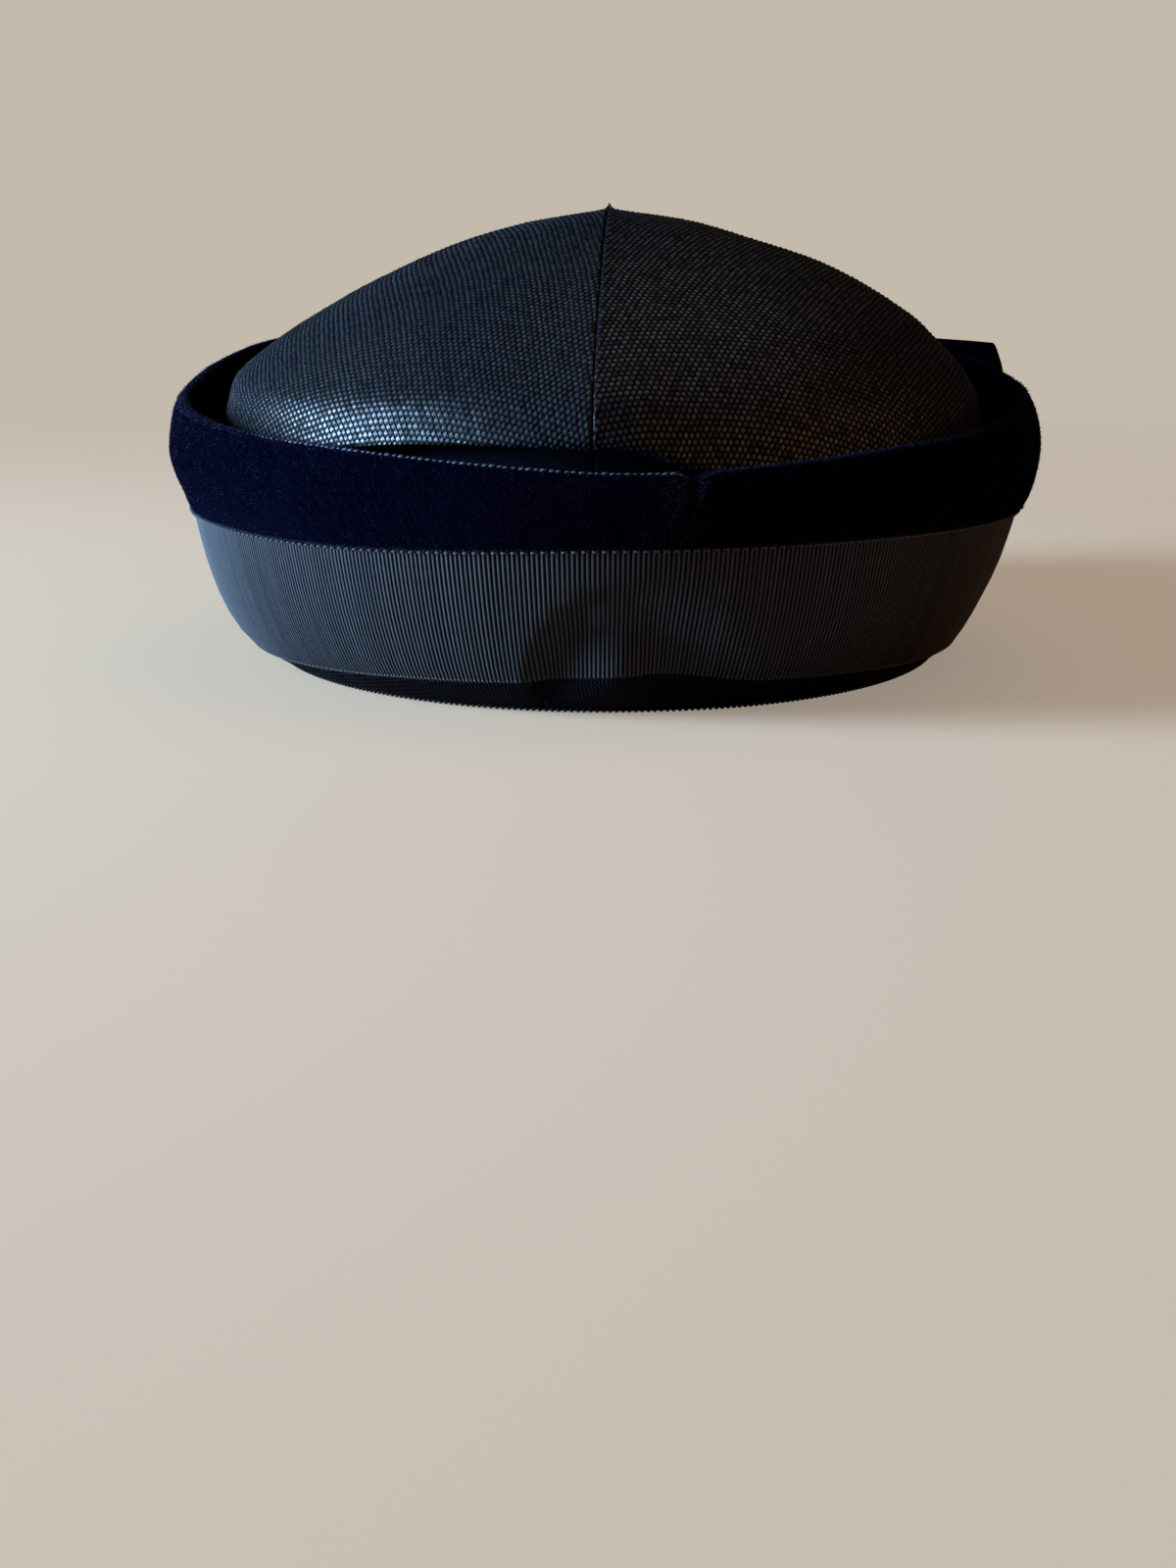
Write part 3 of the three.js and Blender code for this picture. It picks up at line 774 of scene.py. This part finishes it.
def crown_panel(name, hand):
    """One half of the crown: woven outside, plain inside, with a plain skirt that goes down in the brim."""
    cut = PanelCut(hand)
    walked, angle, heights, weave, triangles = woven_grid(cut)
    levels = cut.level(walked, angle)
    flat_p, flat_q = cut.flat(walked, angle)
    from_seam = cut.from_seam(flat_p, flat_q)
    rim = boundary_edges(triangles)
    border = np.unique(rim)
    foot = border[walked[border] > cut.edge(angle[border]) - 0.02]
    foot = foot[np.argsort(angle[foot])]
    points, uv = [], []

    def add(new_points, new_uv):
        start = sum(map(len, points))
        points.append(new_points)
        uv.append(new_uv)
        return np.arange(start, start + len(new_points))

    def stand(level, turned_by, offset):
        places, normal = crown_face(level, cut.round(turned_by))
        places = places + normal * np.asarray(offset)[..., None]
        places[..., 0] += hand * SEAM_HALF_GAP
        return places

    def seam_fold(walked, levels, from_seam):
        fold = seam_lift(hand, from_seam) * fade(1.2, 3.5, walked)
        return fold * fade(FOLD_END_LEVEL, FOLD_START_LEVEL, levels)

    def skirt(first_row, offset):
        """Rows of points down from the cloth's own last row."""
        rows = [first_row]
        for level in SKIRT_LEVELS:
            row = stand(np.full(len(foot), level), angle[foot], np.full(len(foot), offset))
            rows.append(add(row, weave[foot] + (0, (level - WEAVE_END_LEVEL) * 20)))
        return rows

    calm = np.ones(len(walked))
    calm[border] = 0
    calm *= fade(0.0, SEAM_CALM, from_seam) * fade(WEAVE_END_LEVEL, 14.7, levels)
    uneven = 0.18 * smooth_noise(31 + hand, flat_p, flat_q, 0.10) * fade(FOLD_END_LEVEL, 12.0, levels)
    add(stand(levels, angle, seam_fold(walked, levels, from_seam) + uneven + heights * calm), weave)
    outer_rows = skirt(foot, 0.0)

    # The inside of the cloth, with the same points along its border
    follows = dict(rim.tolist())
    loop = [int(rim[0, 0])]
    while follows[loop[-1]] != loop[0]:
        loop.append(follows[loop[-1]])
    sparse_walked, sparse_angle = lining_points(cut)
    plane = [Vector(place) for place in zip(flat_p[loop], flat_q[loop])]
    plane += [Vector(place) for place in zip(*cut.flat(sparse_walked, sparse_angle))]
    fence = [(k, (k + 1) % len(loop)) for k in range(len(loop))]
    found = delaunay_2d_cdt(plane, fence, [], 1, 1e-5)
    origin = np.array([source[0] if source else -1 for source in found[3]])
    walked, angle_inside = np.append(walked[loop], sparse_walked), np.append(angle[loop], sparse_angle)
    inner_levels = cut.level(walked, angle_inside)
    flat_p, flat_q = cut.flat(walked, angle_inside)
    from_seam = cut.from_seam(flat_p, flat_q)
    inner = stand(inner_levels, angle_inside, seam_fold(walked, inner_levels, from_seam) - CROWN_CLOTH)
    # The insides of the two panels meet along the seam, so no light comes through it
    inner[:, 0] -= hand * (SEAM_HALF_GAP + SEAM_OVERLAP) * bell(from_seam / 0.3)
    numbers = add(inner, np.stack([flat_p / WARP_PITCH, flat_q / WEFT_PITCH], -1))
    twin = dict(zip(loop, numbers.tolist()))
    inner_rows = skirt(np.array([twin[k] for k in foot.tolist()]), -CROWN_CLOTH)
    for outer_row, inner_row in zip(outer_rows[1:], inner_rows[1:]):
        twin.update(zip(outer_row.tolist(), inner_row.tolist()))

    # Seen from outside, the woven triangles and the skirt's strips run the same way round
    outside = np.concatenate([triangles, strips(outer_rows)])
    inside = np.concatenate([numbers[0] + origin[np.array(found[2])], strips(inner_rows)])[:, ::-1]
    start, end = boundary_edges(outside).T
    twin_start, twin_end = (np.array([twin[k] for k in ends.tolist()]) for ends in (start, end))
    edge = [np.stack([end, start, twin_start], -1), np.stack([end, twin_start, twin_end], -1)]
    faces = np.concatenate([outside, inside, *edge])
    if hand < 0:
        faces = faces[:, ::-1]
    piece = make_piece(name, np.concatenate(points), faces.tolist(), np.concatenate(uv), [STRAW, CROWN_FOOT_PAINTED_LIGHT])
    # Faces below the fold and the skirt take the crown-foot finish, which holds painted light for the slit.
    finish = np.zeros(len(faces), np.int32)
    finish[:len(triangles)] = levels[triangles].mean(axis=1) > VELVET_LEVEL
    finish[len(triangles):len(outside)] = 1
    piece.data.polygons.foreach_set("material_index", finish)
    return piece


crown_left = crown_panel("crown_left_cloth", -1)
crown_right = crown_panel("crown_right_cloth", 1)


# Brim, ribbon and head ribbon: closed sections carried round the head opening

DENT_ANGLE, DENT_WIDTH, DENT_FOOT, DENT_RISE, DENT_DEPTH = 3.4, 27, 4, 25.5, 5.0
DENT_EDGE, DENT_WALL, DENT_EASING = 1.08, 0.32, 0.3
DENT_LIFT, DENT_LIFT_ANGLE = 1.8, 11.5
SWELL_PLACE, SWELL_HEIGHT, SWELL_OUT, SWELL_RISE = -3.6, 6.0, 5.4, 11.0
SWELL_LEFT, SWELL_RIGHT = 12.0, 7.5
JOIN_ANGLE, JOIN_FOOT_ANGLE, NOTCH_HALF_WIDTH, NOTCH_DEPTH = 9.6, 7.3, 1.9, 1.3
MM_PER_DEGREE = 1.85
RIB_PITCH, RIB_COLUMNS, RIB_PROFILE = 1.0, 4, (-0.26, 0.05, 0.17, 0.05)
HEAD_RIB_PITCH, HEAD_RIB_PROFILE, HEAD_RIBBON_WALL = 1.2, (-0.09, 0.07), 0.7
SHOULDER = 0.96
FOOT_SEAM_ANGLE = -9.8
LOOPED_EDGE = 0.55
TWILL_START, TWILL_FACE, TWILL_BACK = 0.35, 0.95, 1.75


def dent(angle, height):
    """Depth of the dent in the back of the ribbon: a steep arched wall, and the cloth swelling out in it."""
    across = (angle - DENT_ANGLE) * MM_PER_DEGREE
    away = np.hypot(across / DENT_WIDTH, (height - DENT_FOOT) / DENT_RISE)
    easing = DENT_EASING * fade(-4.0, 16.0, across)
    wall = np.clip((away - DENT_EDGE - easing) / (-DENT_WALL - 2 * easing), 0, 1)
    spread = np.where(across < SWELL_PLACE, SWELL_LEFT, SWELL_RIGHT)
    swelling = SWELL_OUT * bell((across - SWELL_PLACE) / spread) * bell((height - SWELL_HEIGHT) / SWELL_RISE)
    return fade(0, 9, height) * (DENT_DEPTH * wall * wall * (3 - 2 * wall) - swelling)


def on_wall(angle, height, inset):
    """Points on the wall under and behind the ribbon, drawn in by inset."""
    angle, height, inset = np.broadcast_arrays(*(np.asarray(v, float) for v in (angle, height, inset)))
    return on_oval(WALL, height, angle, height, inset + dent(turned(angle), height))


def rim_top(angle):
    off = np.abs(turned(angle) - JOIN_ANGLE) / NOTCH_HALF_WIDTH
    return round_at("rim", angle) - NOTCH_DEPTH * np.maximum(0, 1 - off)


def cuff_foot(angle):
    return round_at("ribbon_top", angle) + GAP


def ribbon_foot(angle):
    return round_at("ribbon_foot", angle) + DENT_LIFT * bell((turned(angle) - DENT_ANGLE) / DENT_LIFT_ANGLE)


def on_cuff(angle, rise, inset):
    height = cuff_foot(angle) + (rim_top(angle) - cuff_foot(angle)) * rise
    return on_oval(CUFF, rise, angle, height, inset)


def even_angles(count, height=24.0):
    """Angles that share the ribbon's length evenly, and that length."""
    fine = np.linspace(-180, 180, 3601)
    line = on_oval(WALL, height, fine, height)
    walked = np.concatenate([[0], np.cumsum(np.linalg.norm(np.diff(line, axis=0), axis=1))])
    return np.interp(np.arange(count) / count * walked[-1], walked, fine), walked[-1]


def round_length():
    return even_angles(1)[1]


def ribbed_band():
    """The ribbon: round ribs up its width, joined in pairs by loops at both edges."""
    ribs = 2 * round(round_length() / RIB_PITCH / 2)
    columns = ribs * RIB_COLUMNS
    angle, _ = even_angles(columns)
    phase = np.arange(columns) / RIB_COLUMNS
    profile = np.tile(RIB_PROFILE, ribs)
    lobe = np.sqrt(np.clip(1 - np.square((phase % 2) - 1), 0, 1))
    edge = LOOPED_EDGE * (lobe - 0.35)
    foot, top = ribbon_foot(angle) - edge, round_at("ribbon_top", angle) + edge
    wander = 0.22 * smooth_noise(41, phase / 9.0, 0.0, 1.0)
    shares = np.array([0, 0.03, 0.12, 0.24, 0.37, 0.5, 0.63, 0.76, 0.88, 0.97, 1.0])
    rounded = np.array([0.30, 0.06, 0, 0, 0, 0, 0, 0, 0, 0.06, 0.30])
    heights = foot[:, None] + (top - foot)[:, None] * shares
    inset = rounded + 0.10 * smooth_noise(42, phase[:, None] / 16.0, heights / 9.0)
    outer = on_wall(angle[:, None], heights + wander[:, None] * 0.4, inset - profile[:, None])
    inner_heights = foot[:, None] + (top - foot)[:, None] * np.array([1.0, 0.66, 0.33, 0.0])
    inner = on_wall(angle[:, None], inner_heights, RIBBON_WALL - 0.1)
    up = np.concatenate([heights, inner_heights], axis=1)
    return ring_piece("grosgrain_ribbon", GROSGRAIN, [outer, inner], phase, up), ribs


def join_line(rise):
    """Angle of the slanting join of the velvet."""
    return JOIN_FOOT_ANGLE + (JOIN_ANGLE - JOIN_FOOT_ANGLE) * rise


def cuff_face(angle, rise):
    """The velvet's soft outer face, with the join and the small swells of the cloth."""
    angle, rise = np.broadcast_arrays(angle, rise)
    plump = 0.15 * (1 - bell(rise / 0.05)) - 0.22 * bell(rise / 0.045)
    off = (turned(angle) - join_line(rise)) * MM_PER_DEGREE + 0.4 * smooth_noise(55, rise * 9.0, 0.0)
    fold = 0.35 + 0.75 * fade(0.45, 1.0, rise)
    join = -0.75 * bell(off / 0.85) + fold * bell((off - 2.1) / 1.5) + 0.2 * bell((off + 1.9) / 1.3)
    soft = 0.34 * smooth_noise(52, angle / 7.0, rise * 3.0)
    fall = 0.16 * smooth_noise(53, angle * 1.1, rise * 5.0)
    return on_cuff(angle, rise, -(plump + join + soft + fall))


def rim_round(angle, turn):
    """The rolled rim, from its outer shoulder at turn 0 over the top to its inner side at a half turn."""
    angle, turn = np.broadcast_arrays(angle, turn)
    shoulder = cuff_face(angle, SHOULDER)
    inside = on_cuff(angle, SHOULDER, RIM_WALL)
    points = shoulder + (inside - shoulder) * ((1 - np.cos(turn)) / 2)[..., None]
    crest = rim_top(angle) - shoulder[..., 2] + 0.15 * smooth_noise(54, angle / 4.0, 0.0)
    points[..., 2] += crest * np.sin(turn)
    return points


def velvet_cuff():
    """The brim: turned up behind the ribbon, plump above it, with a soft round rim and a lined inside."""
    angle = np.unique(np.round(np.concatenate([np.arange(-180, 180, 1.0), np.arange(2, 16, 0.2)]), 3))
    ring = angle[:, None]
    foot = ribbon_foot(ring)
    low = np.maximum(foot * np.array([0.0, 0.06, 0.2, 0.4, 0.6, 0.8, 1.0]), 0.0)
    round_foot = np.array([1.1, 0.35, 0.0, 0.0, 0.0, 0.0, 0.0])
    behind_low = on_wall(ring, low, BRIM_INSET + 0.2 + round_foot)
    high = foot + (cuff_foot(ring) - foot) * np.array([0.12, 0.35, 0.6, 0.85, 0.97])
    lower = on_wall(ring, np.array([33, 30, 26, 22, 18, 14, 10.5, 7, 3.5, 0.7, 0.0]), BRIM_INSET + BRIM_WALL)
    lower[:, -1] = (lower[:, -1] + behind_low[:, 0]) / 2
    sides = [
        behind_low,
        on_wall(ring, high, BRIM_INSET + 0.1),
        cuff_face(ring, np.concatenate([[0.0, 0.02, 0.05, 0.09], np.linspace(0.14, SHOULDER, 20)])),
        rim_round(ring, np.linspace(0, np.pi, 12)[None, 1:-1]),
        on_cuff(ring, np.array([SHOULDER, 0.9, 0.75, 0.55, 0.35, 0.15, 0.0]), RIM_WALL),
        lower,
    ]
    walked = np.linalg.norm(np.diff(np.concatenate(sides, axis=1), axis=1), axis=-1)
    up = np.concatenate([np.zeros((len(angle), 1)), np.cumsum(walked, axis=1)], axis=1)
    return ring_piece("velvet_brim_cloth", VELVET, sides, angle * MM_PER_DEGREE, up)


def foot_twill():
    """The twilled strip that shows under the ribbon: slanting ridges, with a small seam at the back."""
    columns = round(round_length() / TWILL_PITCH) * TWILL_COLUMNS
    angle, length = even_angles(columns, 4.0)
    shares = np.array([0.0, 0.07, 0.2, 0.35, 0.5, 0.65, 0.8, 0.92, 1.0])
    ends = np.array([0.35, 0.08, 0, 0, 0, 0, 0.05, 0.12, 0.3])
    rise = (ribbon_foot(angle) + 0.8 - TWILL_START)[:, None]
    heights = TWILL_START + rise * shares
    slant = np.arange(columns)[:, None] / TWILL_COLUMNS + TWILL_SLANT * heights / TWILL_PITCH
    from_seam = (angle - FOOT_SEAM_ANGLE)[:, None] * MM_PER_DEGREE + 0.3 * (heights - 4)
    seam = 0.5 * bell(from_seam / 0.45) - 0.35 * bell((from_seam - 1.1) / 0.6)
    soft = 0.16 * smooth_noise(51, angle[:, None] / 5.0, heights / 4.0)
    ridge = 0.19 * np.cos(math.tau * slant)
    outer = on_wall(angle[:, None], heights, TWILL_FACE - ridge + ends + seam + soft)
    inner_heights = TWILL_START + rise * np.array([1.0, 0.5, 0.0])
    inner = on_wall(angle[:, None], inner_heights, TWILL_BACK)
    up = np.concatenate([heights, inner_heights + 20], axis=1)
    return ring_piece("foot_twill", TWILL, [outer, inner], np.arange(columns) * length / columns, up)


def ribbed_head_ribbon():
    """The ribbon inside the head opening, ribbed on its inner side."""
    columns = 4 * round(round_length() / HEAD_RIB_PITCH)
    angle, _ = even_angles(columns, 4.0)
    profile = np.tile(HEAD_RIB_PROFILE, columns // 2)[:, None]
    up = np.array([0.3, 1.2, 2.6, 4.5, 9.0, 15.0, 20.0, 23.4, 24.0])
    down = up[::-1]
    outer = on_oval(HEAD_RIBBON, up, angle[:, None], up, -profile * 0.4)
    inner = on_oval(HEAD_RIBBON, down, angle[:, None], down, HEAD_RIBBON_WALL + profile)
    return ring_piece(
        "head_ribbon_cloth", HEAD_GROSGRAIN, [outer, inner], np.arange(columns) / 2, np.append(up, down))


def velvet_loop_piece():
    """The flattened loop beside the front: out along the brim, round a narrow end, and back outside it."""
    start, end, foot, top, depth, stand, swell, wall, step = 113, 147, 44, 71, 6, 0.5, 6.2, 1.8, 1.9
    spread = np.linspace(0, 1, 33)
    bend = np.linspace(0, 1, 10)[1:-1]
    stations = [(start + (end - start) * t, np.pi, 0) for t in spread]
    stations += [(end, np.pi * t, 1) for t in bend[::-1]]
    stations += [(end + (start - end) * t, 0.0, 0) for t in spread]
    stations += [(start, np.pi * (1 - t), -1) for t in bend[::-1]]
    angle, turn, side = (np.array(v, float)[:, None] for v in zip(*stations))
    plump = CUFF.rows[3]
    reach = math.radians(plump[CUFF.columns.index("right")])
    round_over = np.array([0.42, 0.12, 0, 0, 0, 0, 0, 0, 0, 0.12, 0.42])
    levels = foot + (top - foot) * np.array([0, 0.02, 0.06, 0.18, 0.34, 0.5, 0.66, 0.82, 0.94, 0.98, 1.0])

    def face(height, inset):
        half = depth / 2 - inset
        along = side * half * np.sin(turn)
        lean = swell * np.sin(np.pi * (height - foot) / (top - foot))
        turned_by = angle + (along + side * lean) / reach
        out = stand + depth / 2 - half * np.cos(turn)
        rise = (height - cuff_foot(turned_by)) / (rim_top(turned_by) - cuff_foot(turned_by))
        radii = np.clip(rise, 0, plump[0])
        ripple = 0.35 * smooth_noise(61, turned_by / 4.0, height / 7.0) * (1 - np.abs(side))
        return on_oval(CUFF, radii, turned_by, np.broadcast_to(height, turned_by.shape), -(out + ripple))

    sides = [face(levels, round_over * wall * 0.5), face(levels[::-1], wall * (1 - 0.5 * round_over[::-1]))]
    around = np.arange(len(stations)) * step
    return ring_piece("velvet_loop_cloth", VELVET, sides, around, np.append(levels, levels[::-1] + 40))


ribbon, rib_count = ribbed_band()
brim = velvet_cuff()
head_ribbon = ribbed_head_ribbon()
loop = velvet_loop_piece()
twill = foot_twill()


# Threads: looped edges, the row of stitches along the rim, the crown's tip, and pile tufts with painted
# sheen, coloured lighter than the velvet

EDGE_LOOP = {"width": 1.02, "height": 0.85, "thread": 0.24}
EDGE_LOOP_DEPTH, EDGE_LOOP_INSET, EDGE_LOOP_OUT = 0.35, 0.05, 0.13
STITCH_START, STITCH_STEP, STITCH_TURN = -52.0, 0.86, 1.25
STITCH = {"length": 1.25, "width": 0.72, "height": 0.62}
TOOTH_PITCH, TOOTH_HEIGHT, TOOTH_INSET = 3.3, 0.52, 0.9
TOOTH = {"length": 1.15, "width": 0.95, "height": 1.1}
RIM_TUFTS, JOIN_TUFTS, FACE_TUFTS, FOOT_TUFTS = 5200, 1500, 9000, 3000
TUFT = {"length": 0.72, "thickness": 0.10}
UP = (0.0, 0.0, 1.0)


def path_frames(make_line, angle):
    """Places at angles on a line, the direction out from the hat there, and the line's direction."""
    line, ahead, behind = make_line(angle), make_line(angle + 0.2), make_line(angle - 0.2)
    along = ahead - behind
    along /= np.linalg.norm(along, axis=1, keepdims=True)
    out = np.cross(along, UP)
    out /= np.linalg.norm(out, axis=1, keepdims=True)
    return line, out, along


def ribbon_loops(name, edge, upwards):
    """Arches of thread that join the ribs in pairs along one edge of the ribbon."""
    angle, _ = even_angles(rib_count // 2)
    depth = -EDGE_LOOP_DEPTH if upwards else EDGE_LOOP_DEPTH
    places, out, along = path_frames(
        lambda at: on_wall(at, edge(at) + depth, EDGE_LOOP_INSET), angle + 360 / rib_count)
    frames = places + out * EDGE_LOOP_OUT, out, along
    return thread_arches(name, frames, RIBBON_THREAD, upwards=upwards, **EDGE_LOOP)


def rim_stitch_row():
    """Whipped stitches on the rim from the left up to the join, smaller and sparser at their start."""
    dice = np.random.default_rng(71)
    angle = np.arange(STITCH_START, JOIN_ANGLE - 1.3, STITCH_STEP)
    angle = angle + dice.normal(0, 0.07, len(angle))
    places, out, along = path_frames(lambda at: rim_round(at, STITCH_TURN), angle)
    places = places + out * dice.normal(0.05, 0.1, len(angle))[:, None]
    sizes = fade(-56, -36, angle) * dice.uniform(0.7, 1.15, len(angle))
    facing = out * 0.55 + (0.0, 0.0, 0.83)
    slanted = along + np.cross(facing, along) * 0.35
    return beads("rim_stitches", (places, facing, slanted, sizes), PALE_THREAD, **STITCH)


def foot_teeth_row():
    """The looped edge of the head ribbon, standing out as small teeth round the foot."""
    angle, _ = even_angles(2 * round(round_length() / TOOTH_PITCH), 0.0)
    places, out, along = path_frames(lambda at: on_wall(at, TOOTH_HEIGHT, TOOTH_INSET), angle)
    sizes = 0.8 + 0.3 * fade(5, 25, angle) * fade(90, 70, angle)
    return beads("head_ribbon_teeth", (places, out, along, sizes), DARK_THREAD, **TOOTH)


def brim_pile():
    """Tufts of pile that stand past the velvet's rim, join and lower edge, and here and there on it."""
    dice = np.random.default_rng(72)
    rim_angle, rim_turn = dice.uniform(-180, 180, RIM_TUFTS), dice.uniform(0.1, 2.9, RIM_TUFTS)
    join_rise = dice.uniform(0.03, 1.0, JOIN_TUFTS)
    join_angle = join_line(join_rise) + dice.normal(-0.2, 1.7, JOIN_TUFTS)
    face_angle, face_rise = dice.uniform(-180, 180, FACE_TUFTS), dice.uniform(0.02, 0.95, FACE_TUFTS)
    foot_angle = dice.uniform(-180, 180, FOOT_TUFTS)
    rows = [
        (lambda at: rim_round(at, rim_turn), rim_angle, np.cos(rim_turn), np.sin(rim_turn), 0.9),
        (lambda at: cuff_face(at, join_rise), join_angle, 1.0, 0.2, 1.0),
        (lambda at: cuff_face(at, face_rise), face_angle, 1.0, 0.0, 0.75),
        (lambda at: cuff_face(at, 0.004), foot_angle, 0.75, -0.65, 0.9),
    ]
    places, facings, alongs, sizes = [], [], [], []
    for line, angle, outwards, upwards, size in rows:
        place, out, along = path_frames(line, angle)
        facing = out * np.reshape(outwards, (-1, 1)) + np.reshape(upwards, (-1, 1)) * UP
        places.append(place - facing * 0.08)
        facings.append(facing + dice.normal(0, 0.38, facing.shape))
        alongs.append(along)
        sizes.append(size * dice.uniform(0.55, 1.2, len(angle)))
    frames = [np.concatenate(part) for part in (places, facings, alongs, sizes)]
    return tufts("velvet_pile", frames, PILE_PAINTED_SHEEN, **TUFT)


def crown_tip():
    """The small gathered point where the panels meet at the top."""
    tip, _ = crown_face(0.0, 0.0)
    radii = np.array([1.5, 1.15, 0.62, 0.36, 0.22, 0.1])
    heights = np.array([-0.9, -0.1, 0.28, 0.62, 0.98, 1.2])
    sides, height = 14, heights[-1] - heights[0]
    turns = math.tau * np.arange(sides) / sides
    twist = turns[None, :] + 0.5 * (heights[:, None] - heights[0]) / height
    reach = radii[:, None] * (1 + 0.16 * np.cos(turns * 5)[None, :])
    rings = np.stack([reach * np.cos(twist), reach * np.sin(twist), heights[:, None] + 0 * twist], -1)
    points = np.concatenate([rings.reshape(-1, 3), [(0, 0, heights[0]), (0, 0, heights[-1] + 0.1)]]) + tip
    faces = []
    for k in range(sides):
        n = (k + 1) % sides
        faces += [(r * sides + k, r * sides + n, (r + 1) * sides + n, (r + 1) * sides + k)
                  for r in range(len(radii) - 1)]
        last = (len(radii) - 1) * sides
        faces += [(n, k, len(points) - 2), (last + k, last + n, len(points) - 1)]
    return make_piece("crown_tip", points, faces, points[:, :2], [STRAW])


top_loops = ribbon_loops("ribbon_top_loops", lambda at: round_at("ribbon_top", at), True)
foot_loops = ribbon_loops("ribbon_foot_loops", ribbon_foot, False)
rim_stitches = rim_stitch_row()
foot_teeth = foot_teeth_row()
pile = brim_pile()
tip = crown_tip()


# Each piece rides on the root, and hides the imported part it replaces

for piece, node, finish_slot in (
    (crown_left, "crown_left", "straw_cloth"),
    (crown_right, "crown_right", "straw_cloth"),
    (brim, "velvet_brim", "velvet"),
    (ribbon, "grosgrain_band", "grosgrain"),
    (head_ribbon, "head_ribbon", "head_ribbon"),
    (loop, "velvet_loop", "velvet"),
    (top_loops, None, "grosgrain"),
    (foot_loops, None, "grosgrain"),
    (twill, None, "velvet"),
    (pile, None, "velvet"),
    (tip, None, "straw_cloth"),
    (rim_stitches, None, "velvet"),
    (foot_teeth, None, "head_ribbon"),
):
    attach(piece, "root")
    if node:
        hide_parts(node)


# Floor, lights and surroundings


FLOOR_HALF, FLOOR_CLEAR_FROM, FLOOR_CLEAR_TO = 6.0, 0.15, 0.85
WINDOW_COLOUR = (0.39, 0.67, 1.05)


def pale_floor():
    """A pale floor, half clear near the hat and wholly clear further out, where the backdrop shows."""
    mesh = bpy.data.meshes.new("floor")
    corners = [(x * FLOOR_HALF, y * FLOOR_HALF, 0) for x, y in ((-1, -1), (1, -1), (1, 1), (-1, 1))]
    mesh.from_pydata(corners, [], [(0, 1, 2, 3)])
    floor = put_in_scene("floor", mesh)
    finish = Finish("pale_floor", **{"Roughness": 0.9, "Specular IOR Level": 0.1})
    x, y = finish.first_two(finish.place())
    away = (x * x + y * y) ** 0.5
    finish.feed("Base Color", shade(0.88, 0.585, 0.385))
    clear = finish.add("ShaderNodeBsdfTransparent")
    blend = finish.add("ShaderNodeMixShader", None, {
        0: away.step(FLOOR_CLEAR_FROM, FLOOR_CLEAR_TO) * 0.5 + 0.5,
        1: finish.shader.outputs[0], 2: clear.outputs[0]})
    plug(finish.tree, finish.surface, blend.outputs[0])
    mesh.materials.append(finish.material)


def soft_light(name, place, aim_height, size, watts, colour, in_gloss=True):
    """A rectangular light that faces the hat."""
    light = bpy.data.lights.new(name, "AREA")
    light.shape, light.size, light.size_y = "RECTANGLE", size[0], size[1]
    light.energy, light.color = watts, colour
    holder = put_in_scene(name, light)
    holder.location = place
    aim = Vector((0, 0, aim_height)) - Vector(place)
    holder.rotation_euler = aim.to_track_quat("-Z", "Y").to_euler()
    holder.visible_glossy = in_gloss


def surroundings():
    """A pale backdrop for the camera, and a dimmer room for what the hat reflects."""
    world = bpy.data.worlds.new("room")
    bpy.context.scene.world = world
    world.use_nodes = True
    tree = world.node_tree
    tree.nodes.clear()
    seen = add_node(tree, "ShaderNodeBackground", None, {0: shade(0.550, 0.495, 0.415), 1: 1.0})
    felt = add_node(tree, "ShaderNodeBackground", None, {0: shade(0.80, 0.66, 0.52), 1: 0.02})
    ray = add_node(tree, "ShaderNodeLightPath")
    both = add_node(tree, "ShaderNodeMixShader", None, {
        0: ray.outputs["Is Camera Ray"], 1: felt.outputs[0], 2: seen.outputs[0]})
    add_node(tree, "ShaderNodeOutputWorld", None, {0: both.outputs[0]})


place_camera()
pale_floor()
surroundings()
soft_light("window_left", (-1.3, -0.24, 0.22), 0.06, (0.5, 0.6), 98, WINDOW_COLOUR)
soft_light("window_upper", (-1.25, -0.26, 0.75), 0.08, (0.4, 0.5), 17, WINDOW_COLOUR)
soft_light("room_right", (1.2, -0.6, 0.6), 0.05, (1.9, 1.3), 5.6, (1.0, 0.55, 0.28))
soft_light("overhead", (0.3, 0.2, 1.6), 0, (1.4, 1.4), 4.2, (1.0, 0.88, 0.74))
soft_light("room_front", (0.3, 1.3, 0.4), 0.05, (1.2, 0.8), 3.5, (1.0, 0.86, 0.72), in_gloss=False)
bpy.context.scene.view_settings.view_transform = "Standard"
